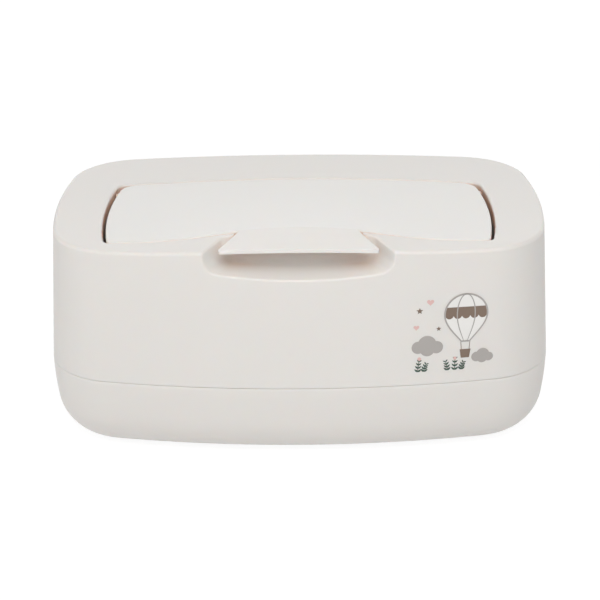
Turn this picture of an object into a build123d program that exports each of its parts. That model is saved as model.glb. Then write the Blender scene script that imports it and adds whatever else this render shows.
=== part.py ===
from build123d import *

import math
import os

# Baby wipes box: a rounded white box whose upper half lifts off its base for refilling,
# with a hinged lid and thumb tab on top and a weighted plate that rides on the wipes.
# Millimetres. +X is the box's right, -Y its front, +Z up; the origin is the middle of
# its footprint, on the surface that it stands on.

# Plan at the parting line, where the box is widest
BOX_WIDTH = 240.4
BOX_DEPTH = 146.4
FRONT_BOW_RADIUS = 472.0
SIDE_BOW_RADIUS = 243.0
CORNER_RADIUS = 35.0

# Plan at deck height, which the mould draft draws in all round
DRAW_IN = 4.15
DECK_FRONT_BOW_RADIUS = 676.0
DECK_SIDE_BOW_RADIUS = 239.0
DECK_CORNER_RADIUS = 33.3

# Heights
DECK_HEIGHT = 104.1
PARTING_HEIGHT = 39.6
FOOT_PROUD = 0.8

# Upper shell
SHELL_WALL = 2.4
DECK_THICKNESS = 2.4
DECK_EDGE_FILLET = 2.0
PARTING_GAP = 0.2

# Base tray
TRAY_WALL = 2.6
TRAY_SIDE_RADIUS = 145.0
TRAY_BOTTOM_RADIUS = 22.0
TRAY_EDGE_BEVEL = 0.4
TRAY_FLOOR_JOIN = 2.0

# Spigot of the tray that the upper shell drops over
SPIGOT_WALL = 2.0
SPIGOT_HEIGHT = 8.0
SPIGOT_CLEARANCE = 0.6
SPIGOT_ROOT = 6.0
SPIGOT_ROOT_SLOPE = 3.0

# Silicone seal in a groove round the spigot
SEAL_HEIGHT = 2.4
SEAL_GROOVE_DEPTH = 1.0
SEAL_RISE = 3.0
SEAL_CLEARANCE = 0.3

# Rubber feet in round recesses under the tray
FOOT_RADIUS = 8.0
FOOT_RECESS = 1.0
FOOT_FIT = 0.1
FOOT_EDGE_FILLET = 0.4
FOOT_INSET_X = 42.2
FOOT_INSET_Y = 40.2

# Well under the lid, and the strips of deck that it leaves around it
REAR_STRIP = 37.45
SIDE_STRIP = 24.1
FRONT_STRIP = 16.05
WELL_REAR_RADIUS = 457.0
WELL_SIDE_RADIUS = 207.0
WELL_SIDE_SHIFT = -1.3
WELL_REAR_CORNER = 5.5
WELL_FRONT_CORNER = 4.0
WELL_DEPTH = 18.1
WELL_WALL = 2.2
WELL_EDGE_FILLET = 1.2
WELL_FLOOR_FILLET = 2.0

# Dispensing opening and the raised rim that the lid's gasket closes on
OPENING_LENGTH = 128.0
OPENING_WIDTH = 48.0
OPENING_SETBACK = 11.0
OPENING_CORNER = 18.0
RIM_WALL = 2.2
RIM_EDGE_FILLET = 0.8

# Arch across the front of the deck and lid, built of tangent arcs
ARCH_HALF_WIDTH = 80.0
ARCH_RISE = 6.6
ARCH_RISE_AT_EDGE = 2.4
ARCH_EDGE_INSET = 3.55

# Lid cover
LID_REAR_GAP = 1.2
LID_SIDE_GAP = 1.9
LID_FRONT_GAP = 0.6
LID_SIDE_SHIFT = -4.0
LID_REAR_CORNER = 9.5
LID_FRONT_CORNER = 2.5
LID_SKIN = 2.0
LID_SKIRT_DEPTH = 5.6
LID_EDGE_FILLET = 1.0
LID_LEAST_CORNER = 0.5
LID_SWEEP_POWER = 3.0
LID_STATIONS = 6
LID_LEVEL_SHARE = 0.12

# Thumb tab at the front of the lid
TAB_ROOT_HALF = 26.6
TAB_TIP_HALF = 36.2
TAB_TIP_INSET = 1.05
TAB_TIP_RISE = 2.25
TAB_ROOT_THICKNESS = 3.0
TAB_TIP_THICKNESS = 1.7
TAB_TIP_END_THICKNESS = 1.8
TAB_CORNER = 0.8
TAB_TIP_CROWN = 0.6
TAB_OVERLAP = 1.6

# Finger scoop in the front wall below the tab, between its back and its mouth
SCOOP_BACK_WALL = 2.6
SCOOP_BACK_HALF = 33.8
SCOOP_BACK_DROP = 9.1
SCOOP_MOUTH_HALF = 43.2
SCOOP_MOUTH_DROP = 11.9
SCOOP_CORNER = 7.2
SCOOP_LEAN = 1.0
SCOOP_FLOOR_RADIUS = 320.0
SCOOP_BACK_FILLET = 4.0
SCOOP_EDGE_FILLET = 1.2
SCOOP_WALL = 2.2
SILL_DROP = 1.6
SILL_CLEARANCE = 0.5

# Hinge pins, carried by the lid's liner and turning in the shell
HINGE_SETBACK = 13.4
HINGE_DROP = 4.2
PIN_RADIUS = 1.5
PIN_BEVEL = 0.3
PIN_RUNNING_CLEARANCE = 0.05
PIN_SEAT_CLEARANCE = 0.02
PIN_SETBACK = 0.5
PIN_BITE = 3.8
PIN_END_PLAY = 0.5
PIN_BOSS_WALL = 2.4
HINGE_BLOCK_LENGTH = 8.0
HINGE_BLOCK_INSET = 8.0
HINGE_NOTCH_FIT = 0.3

# Lid liner and its gasket
LINER_THICKNESS = 1.8
LINER_FIT = 0.1
GASKET_WIDTH = 4.2
GASKET_HEIGHT = 2.6
GASKET_SEAT = 0.8
GASKET_GAP = 0.3
GASKET_EDGE_FILLET = 0.6

# Weighted plate that rides on the wipes
PLATE_INSET = 25.5
PLATE_HEIGHT = 9.0
PLATE_SKIN = 1.8
PLATE_EDGE_FILLET = 1.5
PLATE_BASE_THICKNESS = 1.6
PLATE_REST_GAP = 0.3
PLATE_FIT = 0.1
SLOT_LENGTH = 96.0
SLOT_WIDTH = 22.0
SLOT_LIP_WALL = 1.8
SLOT_LIP_RISE = 2.0
SLOT_LIP_FILLET = 0.8
WEIGHT_LENGTH = 130.0
WEIGHT_HEIGHT = 4.5
WEIGHT_CORNER = 3.0
WEIGHT_MARGIN = 3.0

# How far cutting shapes run past what they cut: clear of the box, and past one face
MARGIN = 12.0
OVERCUT = 1.0

DRAFT = DRAW_IN / (DECK_HEIGHT - PARTING_HEIGHT)
DECK_WIDTH = BOX_WIDTH - 2 * DRAW_IN
DECK_DEPTH = BOX_DEPTH - 2 * DRAW_IN
DECK_FRONT = -DECK_DEPTH / 2
FLOOR_TOP = FOOT_PROUD + TRAY_WALL
WELL_REAR = DECK_DEPTH / 2 - REAR_STRIP
WELL_SIDE = DECK_WIDTH / 2 - SIDE_STRIP
WELL_FRONT = DECK_FRONT + FRONT_STRIP
WELL_SIDE_MIDDLE = (WELL_REAR + WELL_FRONT) / 2 + WELL_SIDE_SHIFT
WELL_FLOOR = DECK_HEIGHT - WELL_DEPTH
OPENING_MIDDLE = WELL_FRONT + OPENING_SETBACK + OPENING_WIDTH / 2
ARCH_EDGE = DECK_FRONT + ARCH_EDGE_INSET
LID_BOTTOM = DECK_HEIGHT - LID_SKIRT_DEPTH
LID_REAR = WELL_REAR - LID_REAR_GAP
LID_FRONT = WELL_FRONT + LID_FRONT_GAP
TAB_TIP = DECK_FRONT + TAB_TIP_INSET
SCOOP_BACK = WELL_FRONT - SCOOP_BACK_WALL
HINGE_Y = WELL_REAR - HINGE_SETBACK
HINGE_Z = DECK_HEIGHT - HINGE_DROP
GASKET_BOTTOM = LID_BOTTOM + GASKET_SEAT - GASKET_HEIGHT
RIM_TOP = GASKET_BOTTOM - GASKET_GAP
PLATE_BOTTOM = FLOOR_TOP + PLATE_REST_GAP


def circles_meet(centre_a, radius_a, centre_b, radius_b):
    """Where two circles meet, on the right-hand side of the line from a to b."""
    dx = centre_b[0] - centre_a[0]
    dy = centre_b[1] - centre_a[1]
    span = math.hypot(dx, dy)
    along = (radius_a**2 - radius_b**2 + span**2) / (2 * span)
    across = math.sqrt(radius_a**2 - along**2)
    x = centre_a[0] + (along * dx + across * dy) / span
    y = centre_a[1] + (along * dy - across * dx) / span
    return x, y


def heading(centre, point):
    """Angle of a point as seen from a centre, in degrees."""
    return math.degrees(math.atan2(point[1] - centre[1], point[0] - centre[0]))


def arc(centre, radius, start, end):
    """Arc in the plan about a centre, anticlockwise between two angles in degrees."""
    place = Plane((centre[0], centre[1], 0))
    return Edge.make_circle(radius, place, start_angle=start, end_angle=end)


def plan_wire(width, depth, bow, side_bow, corner, inset=0.0, z=0.0):
    """The box's plan: bowed sides and round corners, tangent, from the middle of +X."""
    back_c = (0.0, depth / 2 - bow)
    right_c = (width / 2 - side_bow, 0.0)
    corner_c = circles_meet(back_c, bow - corner, right_c, side_bow - corner)
    side_turn = heading(right_c, corner_c)
    back_turn = heading(back_c, corner_c)
    edges = []
    for half, flip in ((0, 1), (180, -1)):
        near_side = (flip * right_c[0], 0.0)
        far_side = (-flip * right_c[0], 0.0)
        back = (0.0, flip * back_c[1])
        near_corner = (flip * corner_c[0], flip * corner_c[1])
        far_corner = (-flip * corner_c[0], flip * corner_c[1])
        turns = (
            (near_side, side_bow, 0, side_turn),
            (near_corner, corner, side_turn, back_turn),
            (back, bow, back_turn, 180 - back_turn),
            (far_corner, corner, 180 - back_turn, 180 - side_turn),
            (far_side, side_bow, 180 - side_turn, 180),
        )
        for centre, radius, start, end in turns:
            edges.append(arc(centre, radius - inset, half + start, half + end))
    return Pos(0, 0, z) * Wire(edges)


def parting_plan(inset=0.0):
    """The plan at the parting line, drawn in all round by inset."""
    return plan_wire(
        BOX_WIDTH, BOX_DEPTH, FRONT_BOW_RADIUS, SIDE_BOW_RADIUS, CORNER_RADIUS, inset
    )


def shell_plan(z, inset=0.0):
    """The upper shell's plan at height z, which the mould draft draws in."""
    rise = (z - PARTING_HEIGHT) / (DECK_HEIGHT - PARTING_HEIGHT)

    def between(low, high):
        return low + rise * (high - low)

    return plan_wire(
        between(BOX_WIDTH, DECK_WIDTH),
        between(BOX_DEPTH, DECK_DEPTH),
        1 / between(1 / FRONT_BOW_RADIUS, 1 / DECK_FRONT_BOW_RADIUS),
        between(SIDE_BOW_RADIUS, DECK_SIDE_BOW_RADIUS),
        between(CORNER_RADIUS, DECK_CORNER_RADIUS),
        inset,
        z,
    )


def drafted_block(low, high, inset=0.0):
    """Solid inside the shell's drafted sides, between two heights."""
    return Solid.make_loft([shell_plan(low, inset), shell_plan(high, inset)], ruled=True)


def pan_face(rear, side, front, middle, side_bow, rear_bow, rear_corner, front_corner):
    """Plan of the well or the lid: bowed rear and sides, straight front."""
    rear_c = (0.0, rear - rear_bow)
    right_c = (side - side_bow, middle)
    rear_corner_c = circles_meet(
        rear_c, rear_bow - rear_corner, right_c, side_bow - rear_corner
    )
    drop = front + front_corner - middle
    reach = math.sqrt((side_bow - front_corner) ** 2 - drop**2)
    front_corner_c = (right_c[0] + reach, front + front_corner)
    rear_turn = heading(rear_c, rear_corner_c)
    side_top = heading(right_c, rear_corner_c)
    side_low = heading(right_c, front_corner_c)
    left_c = (-right_c[0], middle)
    left_rear_c = (-rear_corner_c[0], rear_corner_c[1])
    left_front_c = (-front_corner_c[0], front_corner_c[1])
    edges = [
        Edge.make_line((left_front_c[0], front), (front_corner_c[0], front)),
        arc(front_corner_c, front_corner, -90, side_low),
        arc(right_c, side_bow, side_low, side_top),
        arc(rear_corner_c, rear_corner, side_top, rear_turn),
        arc(rear_c, rear_bow, rear_turn, 180 - rear_turn),
        arc(left_rear_c, rear_corner, 180 - rear_turn, 180 - side_top),
        arc(left_c, side_bow, 180 - side_top, 180 - side_low),
        arc(left_front_c, front_corner, 180 - side_low, 270),
    ]
    return Face(Wire(edges))


def well_face(growth=0.0):
    """Plan of the well, grown outwards all round."""
    return pan_face(
        WELL_REAR + growth,
        WELL_SIDE + growth,
        WELL_FRONT - growth,
        WELL_SIDE_MIDDLE,
        WELL_SIDE_RADIUS + growth,
        WELL_REAR_RADIUS + growth,
        WELL_REAR_CORNER + growth,
        WELL_FRONT_CORNER + growth,
    )


def lid_face(inset=0.0):
    """Plan of the lid, drawn in all round."""
    return pan_face(
        LID_REAR - inset,
        WELL_SIDE - LID_SIDE_GAP - inset,
        LID_FRONT + inset,
        WELL_SIDE_MIDDLE + LID_SIDE_SHIFT,
        WELL_SIDE_RADIUS - LID_SIDE_GAP - inset,
        WELL_REAR_RADIUS - LID_REAR_GAP - inset,
        LID_REAR_CORNER - inset,
        max(LID_FRONT_CORNER - inset, LID_LEAST_CORNER),
    )


def half_width(plan, y):
    """Half width of a plan face at y, round corners included."""
    line = Edge.make_line((0, y, 0), (BOX_WIDTH, y, 0))
    return max(vertex.X for vertex in (line & plan).vertices())


def block(face, low, high):
    """Upright prism on a plan face between two heights."""
    return Pos(0, 0, low) * extrude(face, amount=high - low, dir=(0, 0, 1))


def bar(length, width, corner, low, high, y=0.0):
    """Upright prism on a rounded rectangle, about x = 0."""
    return Pos(0, y, 0) * block(RectangleRounded(length, width, corner).face(), low, high)


def box(x_low, x_high, y_low, y_high, z_low, z_high):
    """Plain block between three pairs of planes."""
    middle = ((x_low + x_high) / 2, (y_low + y_high) / 2, (z_low + z_high) / 2)
    return Pos(*middle) * Box(x_high - x_low, y_high - y_low, z_high - z_low)


def x_bar(radius, x_low, x_high, y, z):
    """Round bar along X."""
    return Pos((x_low + x_high) / 2, y, z) * Rot(0, 90, 0) * Cylinder(radius, x_high - x_low)


def arch_height(x, rise):
    """Height of the arch above the deck at x, for an arch of the given rise."""
    quarter = ARCH_HALF_WIDTH / 2
    radius = (quarter**2 + (rise / 2) ** 2) / rise
    if abs(x) <= quarter:
        return rise - radius + math.sqrt(radius**2 - x**2)
    if abs(x) < ARCH_HALF_WIDTH:
        return radius - math.sqrt(radius**2 - (ARCH_HALF_WIDTH - abs(x)) ** 2)
    return 0.0


def arch_section(y, rise, drop=0.0):
    """Upright section that is level at the sides and arched in the middle."""
    level = DECK_HEIGHT - drop
    side = BOX_WIDTH / 2 + MARGIN
    half = ARCH_HALF_WIDTH
    quarter = half / 2
    flank = (quarter + half) / 2

    def point(x):
        return Vector(x, y, level + arch_height(x, rise))

    corners = [
        (half, y, level),
        (side, y, level),
        (side, y, PARTING_HEIGHT),
        (-side, y, PARTING_HEIGHT),
        (-side, y, level),
        (-half, y, level),
    ]
    edges = [
        Edge.make_three_point_arc(point(-half), point(-flank), point(-quarter)),
        Edge.make_three_point_arc(point(-quarter), point(0), point(quarter)),
        Edge.make_three_point_arc(point(quarter), point(flank), point(half)),
    ]
    for start, end in zip(corners, corners[1:]):
        edges.append(Edge.make_line(start, end))
    return Wire(edges)


def deck_space(drop=0.0):
    """Everything below the deck: level behind, falling arch in front of the lid."""
    fall = (ARCH_RISE - ARCH_RISE_AT_EDGE) / (LID_FRONT - ARCH_EDGE)
    back = LID_FRONT + LID_SKIN
    front = DECK_FRONT - OVERCUT
    sections = []
    for y in (front, back):
        sections.append(arch_section(y, ARCH_RISE + fall * (y - LID_FRONT), drop))
    side = BOX_WIDTH / 2 + MARGIN
    space = Solid.make_loft(sections, ruled=True)
    for low, high in ((-side, front), (back, side)):
        space += box(-side, side, low, high, PARTING_HEIGHT, DECK_HEIGHT - drop)
    return space


def lid_space(drop=0.0):
    """Everything below the lid's top: level at the rear, sweeping up to the arch."""
    stations = [LID_REAR + LID_SKIN]
    for i in range(1, LID_STATIONS + 1):
        stations.append(LID_REAR + (LID_FRONT - LID_REAR) * i / LID_STATIONS)
    stations.append(LID_FRONT - LID_SKIN)
    sections = []
    for y in stations:
        along = (LID_REAR - y) / (LID_REAR - LID_FRONT)
        rise = ARCH_RISE * max(along, LID_LEVEL_SHARE) ** LID_SWEEP_POWER
        sections.append(arch_section(y, rise, drop))
    return Solid.make_loft(sections)


def scoop_section(y, growth):
    """Upright section of the finger scoop: leaning sides, round corners, bowed floor."""
    share = (SCOOP_BACK - y) / (SCOOP_BACK - DECK_FRONT)
    half = SCOOP_BACK_HALF + share * (SCOOP_MOUTH_HALF - SCOOP_BACK_HALF)
    drop = SCOOP_BACK_DROP + share * (SCOOP_MOUTH_DROP - SCOOP_BACK_DROP)
    corner = SCOOP_CORNER + growth
    floor = SCOOP_FLOOR_RADIUS + growth
    top = Vector(half + growth + SCOOP_LEAN, y, DECK_HEIGHT + MARGIN)
    foot = Vector(half + growth, y, DECK_HEIGHT - drop - growth)
    floor_c = Vector(0, y, foot.Z + floor)
    upwards = (top - foot).normalized()
    inwards = Vector(-upwards.Z, 0, upwards.X)

    start = foot + inwards * corner
    behind = (start - floor_c).dot(upwards)
    excess = (start - floor_c).dot(start - floor_c) - (floor - corner) ** 2
    corner_c = start - upwards * (behind + math.sqrt(behind**2 - excess))
    on_side = corner_c - inwards * corner
    on_floor = floor_c + (corner_c - floor_c).normalized() * floor
    bisector = (on_side - corner_c + on_floor - corner_c).normalized()
    on_corner = corner_c + bisector * corner

    def left(point):
        return Vector(-point.X, point.Y, point.Z)

    lowest = Vector(0, y, foot.Z)
    edges = [
        Edge.make_line(left(top), left(on_side)),
        Edge.make_three_point_arc(left(on_side), left(on_corner), left(on_floor)),
        Edge.make_three_point_arc(left(on_floor), lowest, on_floor),
        Edge.make_three_point_arc(on_floor, on_corner, on_side),
        Edge.make_line(on_side, top),
        Edge.make_line(top, left(top)),
    ]
    return Wire(edges)


def scoop_block(growth=0.0):
    """The finger scoop as a solid, grown outwards for the wall behind it."""
    front = scoop_section(-BOX_DEPTH / 2 - OVERCUT, growth)
    back = scoop_section(SCOOP_BACK + growth, growth)
    scoop = Solid.make_loft([front, back], ruled=True)
    rear_face = scoop.faces().sort_by(Axis.Y)[-1]
    rear_edges = rear_face.edges().sort_by(Axis.Z)[:-1]
    return fillet(rear_edges, SCOOP_BACK_FILLET + growth)


def scoop_sill():
    """The gap above the wall between scoop and well, which the tab passes through."""
    side = tab_half(SCOOP_BACK) + SILL_CLEARANCE
    top = DECK_HEIGHT + MARGIN
    sill = DECK_HEIGHT - SILL_DROP
    return box(-side, side, SCOOP_BACK - OVERCUT, LID_FRONT, sill, top)


def drafted_x(inset, z):
    """X of the box's end, drawn in by inset, where the mould draft takes it at height z."""
    return BOX_WIDTH / 2 - inset - DRAFT * (z - PARTING_HEIGHT)


def tray_section():
    """Section through the tray's side: round outside, even wall, grooved spigot."""
    side_r = TRAY_SIDE_RADIUS
    low_r = TRAY_BOTTOM_RADIUS
    turn = math.asin((PARTING_HEIGHT - FOOT_PROUD - low_r) / (side_r - low_r))
    side_c = (side_r, PARTING_HEIGHT)
    low_c = (side_r - (side_r - low_r) * math.cos(turn), FOOT_PROUD + low_r)
    floor_in = low_c[0] + TRAY_FLOOR_JOIN
    spigot_in = SHELL_WALL + SPIGOT_CLEARANCE + SPIGOT_WALL
    spigot_out = SHELL_WALL + SPIGOT_CLEARANCE
    spigot_top = PARTING_HEIGHT + SPIGOT_HEIGHT
    root = PARTING_HEIGHT - SPIGOT_ROOT
    root_turn = math.asin(SPIGOT_ROOT / (side_r - TRAY_WALL))
    bevel_turn = math.asin(TRAY_EDGE_BEVEL / side_r)
    groove_low = PARTING_HEIGHT + SEAL_RISE
    groove_high = groove_low + SEAL_HEIGHT

    def at(inset, z):
        return Vector(BOX_WIDTH / 2 - inset, 0, z)

    def on(centre, radius, angle):
        x = centre[0] - radius * math.cos(angle)
        return at(x, centre[1] - radius * math.sin(angle))

    def drafted(inset, z):
        return Vector(drafted_x(inset, z), 0, z)

    def bend(centre, radius, start, end):
        middle = (start + end) / 2
        ends = [on(centre, radius, angle) for angle in (start, middle, end)]
        return Edge.make_three_point_arc(*ends)

    floor_turn = math.pi / 2
    outside = [
        bend(side_c, side_r, bevel_turn, turn),
        bend(low_c, low_r, turn, floor_turn),
    ]
    inside = [
        bend(low_c, low_r - TRAY_WALL, floor_turn, turn),
        bend(side_c, side_r - TRAY_WALL, turn, root_turn),
    ]
    floor_line = [
        on(low_c, low_r, floor_turn),
        at(floor_in, FOOT_PROUD),
        at(floor_in, FLOOR_TOP),
        on(low_c, low_r - TRAY_WALL, floor_turn),
    ]
    rim_line = [
        on(side_c, side_r - TRAY_WALL, root_turn),
        drafted(spigot_in, root + SPIGOT_ROOT_SLOPE),
        drafted(spigot_in, spigot_top),
        drafted(spigot_out, spigot_top),
        drafted(spigot_out, groove_high),
        drafted(spigot_out + SEAL_GROOVE_DEPTH, groove_high),
        drafted(spigot_out + SEAL_GROOVE_DEPTH, groove_low),
        drafted(spigot_out, groove_low),
        drafted(spigot_out, PARTING_HEIGHT),
        at(TRAY_EDGE_BEVEL, PARTING_HEIGHT),
        on(side_c, side_r, bevel_turn),
    ]
    lines = []
    for points in (floor_line, rim_line):
        for start, end in zip(points, points[1:]):
            lines.append(Edge.make_line(start, end))
    return Face(Wire(outside + inside + lines)), floor_in


def seal_section():
    """Section of the silicone seal: it fills the groove and nearly meets the shell."""
    low = PARTING_HEIGHT + SEAL_RISE
    out = SHELL_WALL + SEAL_CLEARANCE
    inner = SHELL_WALL + SPIGOT_CLEARANCE + SEAL_GROOVE_DEPTH
    points = []
    for inset, z in (
        (out, low),
        (inner, low),
        (inner, low + SEAL_HEIGHT),
        (out, low + SEAL_HEIGHT),
    ):
        points.append(Vector(drafted_x(inset, z), 0, z))
    return Face(Wire.make_polygon(points))


def foot_places():
    """Names and places of the four feet."""
    across = BOX_WIDTH / 2 - FOOT_INSET_X
    along = BOX_DEPTH / 2 - FOOT_INSET_Y
    places = {}
    for row, y in (("front", -along), ("rear", along)):
        for side, x in (("left", -across), ("right", across)):
            places[f"foot_{row}_{side}"] = (x, y)
    return places


def make_base_tray():
    """Lower half: a dished tray with a spigot that the upper shell drops over."""
    section, floor_in = tray_section()
    rim = Solid.sweep(section, parting_plan())
    tray = rim + block(Face(parting_plan(floor_in)), FOOT_PROUD, FLOOR_TOP)
    for x, y in foot_places().values():
        recess = Cylinder(FOOT_RADIUS + FOOT_FIT, 2 * FOOT_RECESS)
        tray -= Pos(x, y, FOOT_PROUD) * recess
    return tray


def make_base_seal():
    """Silicone ring that keeps the join between tray and shell moist-tight."""
    return Solid.sweep(seal_section(), parting_plan())


def make_foot(place):
    """Round rubber pad, let into the tray's underside."""
    height = FOOT_PROUD + FOOT_RECESS
    pad = Pos(place[0], place[1], height / 2) * Cylinder(FOOT_RADIUS, height)
    return fillet(pad.edges().group_by(Axis.Z)[0], FOOT_EDGE_FILLET)


def hinge_wall():
    """Where the well's side wall stands on the hinge line."""
    return half_width(well_face(), HINGE_Y)


def edges_between(solid, core, cover, low):
    """Edges whose middles lie outside a core, inside a cover and above a height."""
    found = []
    for edge in solid.edges():
        middle = edge.center()
        within = cover.is_inside(middle) and not core.is_inside(middle)
        if within and middle.Z > low:
            found.append(edge)
    return found


def deck_edges(solid):
    """Edges where the deck meets the outside walls."""
    top = DECK_HEIGHT + MARGIN
    core = drafted_block(PARTING_HEIGHT, top, SHELL_WALL)
    cover = drafted_block(PARTING_HEIGHT, top, -SHELL_WALL)
    return edges_between(solid, core, cover, DECK_HEIGHT - OVERCUT)


def well_edges(solid):
    """Edges where the well meets the deck."""
    top = DECK_HEIGHT + MARGIN
    core = block(well_face(-WELL_EDGE_FILLET), WELL_FLOOR, top)
    cover = block(well_face(WELL_EDGE_FILLET), WELL_FLOOR, top)
    return edges_between(solid, core, cover, DECK_HEIGHT - OVERCUT)


def scoop_edges(solid):
    """Edges of the scoop's mouth in the outside of the front wall."""
    side = SCOOP_MOUTH_HALF + SCOOP_CORNER
    top = DECK_HEIGHT + MARGIN
    core = drafted_block(PARTING_HEIGHT, top, SHELL_WALL / 2)
    low = DECK_HEIGHT - SCOOP_MOUTH_DROP - OVERCUT
    cover = box(-side, side, -BOX_DEPTH / 2, SCOOP_BACK, low, top)
    return edges_between(solid, core, cover, low)


def make_upper_shell():
    """Upper half: drafted walls, deck, lid well, sealing rim, scoop and hinge bosses."""
    top = DECK_HEIGHT + MARGIN
    outside = drafted_block(PARTING_HEIGHT + PARTING_GAP, top) & deck_space()
    outside = fillet(deck_edges(outside), DECK_EDGE_FILLET)
    pocket = block(well_face(), WELL_FLOOR, top)
    pocket = fillet(pocket.edges().group_by(Axis.Z)[0], WELL_FLOOR_FILLET)
    outside -= pocket
    outside = fillet(well_edges(outside), WELL_EDGE_FILLET)

    cavity = drafted_block(PARTING_HEIGHT, top, SHELL_WALL) & deck_space(DECK_THICKNESS)
    cavity -= block(well_face(WELL_WALL), WELL_FLOOR - WELL_WALL, top)
    cavity -= scoop_block(SCOOP_WALL)
    wall = hinge_wall()
    blind_end = wall + PIN_BITE + PIN_END_PLAY
    bore = PIN_RADIUS + PIN_RUNNING_CLEARANCE
    for flip in (-1, 1):
        ends = sorted((flip * wall, flip * (blind_end + WELL_WALL)))
        cavity -= x_bar(bore + PIN_BOSS_WALL, *ends, HINGE_Y, HINGE_Z)

    shell = outside - cavity
    rim_low = WELL_FLOOR - WELL_WALL
    rim = bar(
        OPENING_LENGTH + 2 * RIM_WALL,
        OPENING_WIDTH + 2 * RIM_WALL,
        OPENING_CORNER + RIM_WALL,
        rim_low,
        RIM_TOP,
        OPENING_MIDDLE,
    )
    rim = fillet(rim.edges().group_by(Axis.Z)[-1], RIM_EDGE_FILLET)
    shell += rim
    shell -= bar(
        OPENING_LENGTH,
        OPENING_WIDTH,
        OPENING_CORNER,
        rim_low - OVERCUT,
        top,
        OPENING_MIDDLE,
    )
    shell -= scoop_block()
    shell -= scoop_sill()
    shell = fillet(scoop_edges(shell), SCOOP_EDGE_FILLET)
    for flip in (-1, 1):
        ends = sorted((flip * (wall - OVERCUT), flip * blind_end))
        shell -= x_bar(bore, *ends, HINGE_Y, HINGE_Z)
    return shell


def make_hinge_pin(flip):
    """Round pin that runs from the lid's hinge block into the well's side wall."""
    inner = hinge_block_end() - HINGE_BLOCK_LENGTH + PIN_SETBACK
    ends = sorted((flip * inner, flip * (hinge_wall() + PIN_BITE)))
    pin = x_bar(PIN_RADIUS, *ends, HINGE_Y, HINGE_Z)
    return chamfer(pin.edges().filter_by(GeomType.CIRCLE), PIN_BEVEL)


def hinge_block_end():
    """Outer end of the hinge block: set in from the lid's round rear corner."""
    return half_width(lid_face(), HINGE_Y) - HINGE_BLOCK_INSET


def tab_half(y):
    """Half width of the tab at y, where it flares from the lid's front line."""
    share = (LID_FRONT - y) / (LID_FRONT - TAB_TIP)
    return TAB_ROOT_HALF + share * (TAB_TIP_HALF - TAB_ROOT_HALF)


def tab_section(y):
    """Upright section of the tab at y: arched at its root, nearly straight at its tip."""
    share = (LID_FRONT - y) / (LID_FRONT - TAB_TIP)
    half = ARCH_HALF_WIDTH / 2
    tip_height = DECK_HEIGHT + TAB_TIP_RISE

    def between(root, tip):
        return root + share * (tip - root)

    middle = between(DECK_HEIGHT + ARCH_RISE, tip_height)
    end = between(
        DECK_HEIGHT + arch_height(half, ARCH_RISE), tip_height - TAB_TIP_CROWN
    )
    low_middle = middle - between(TAB_ROOT_THICKNESS, TAB_TIP_THICKNESS)
    low_end = end - between(TAB_ROOT_THICKNESS, TAB_TIP_END_THICKNESS)
    top = Edge.make_three_point_arc((-half, y, end), (0, y, middle), (half, y, end))
    low = Edge.make_three_point_arc(
        (half, y, low_end), (0, y, low_middle), (-half, y, low_end)
    )
    right = Edge.make_line((half, y, end), (half, y, low_end))
    left = Edge.make_line((-half, y, low_end), (-half, y, end))
    return Wire([top, right, low, left])


def make_tab():
    """Thumb tab: it flares from the lid's front line and falls to a thin tip."""
    sides = [
        (-TAB_ROOT_HALF, LID_FRONT),
        (-TAB_TIP_HALF, TAB_TIP),
        (TAB_TIP_HALF, TAB_TIP),
        (TAB_ROOT_HALF, LID_FRONT),
    ]
    plan = Polygon(*sides, align=None).face()
    corners = plan.vertices().group_by(Axis.Y)[0]
    prism = block(plan.fillet_2d(TAB_CORNER, corners), LID_BOTTOM, DECK_HEIGHT + MARGIN)
    sections = [tab_section(TAB_TIP - OVERCUT), tab_section(LID_FRONT)]
    blade = prism & Solid.make_loft(sections, ruled=True)
    return blade + (tab_root() & lid_space())


def tab_root():
    """The stretch of the lid's front wall, to its full height, that carries the tab."""
    back = LID_FRONT + TAB_OVERLAP
    top = DECK_HEIGHT + MARGIN
    return box(-TAB_ROOT_HALF, TAB_ROOT_HALF, LID_FRONT, back, LID_BOTTOM, top)


def make_lid_cover():
    """Outer lid: a thin swept skin with a skirt, notched over the pins, and its tab."""
    top = DECK_HEIGHT + MARGIN
    lid = block(lid_face(), LID_BOTTOM, top) & lid_space()
    core = block(lid_face(LID_SKIN / 2), LID_BOTTOM, top)
    cover = block(lid_face(-LID_SKIN / 2), LID_BOTTOM, top)
    rim = edges_between(lid, core, cover, DECK_HEIGHT - OVERCUT)
    lid = fillet(rim, LID_EDGE_FILLET)
    lid -= block(lid_face(LID_SKIN), LID_BOTTOM - OVERCUT, top) & lid_space(LID_SKIN)
    lid -= tab_root()
    lid += make_tab()
    for flip in (-1, 1):
        lid -= hinge_notch(flip)
    return lid


def hinge_notch(flip):
    """Slot, open below, that lets the lid drop over a pin beside its hinge block."""
    half = PIN_RADIUS + HINGE_NOTCH_FIT
    ends = sorted((flip * hinge_block_end(), flip * WELL_SIDE))
    low = LID_BOTTOM - OVERCUT
    foot = box(*ends, HINGE_Y - half, HINGE_Y + half, low, HINGE_Z)
    return foot + x_bar(half, *ends, HINGE_Y, HINGE_Z)


def gasket_ring(low, high, fit=0.0):
    """Ring that follows the middle of the dispensing rim."""
    length = OPENING_LENGTH + RIM_WALL
    width = OPENING_WIDTH + RIM_WALL
    corner = OPENING_CORNER + RIM_WALL / 2
    half = GASKET_WIDTH / 2 + fit
    outer = bar(
        length + 2 * half, width + 2 * half, corner + half, low, high, OPENING_MIDDLE
    )
    inner = bar(
        length - 2 * half, width - 2 * half, corner - half, low, high, OPENING_MIDDLE
    )
    return outer - inner


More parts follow.
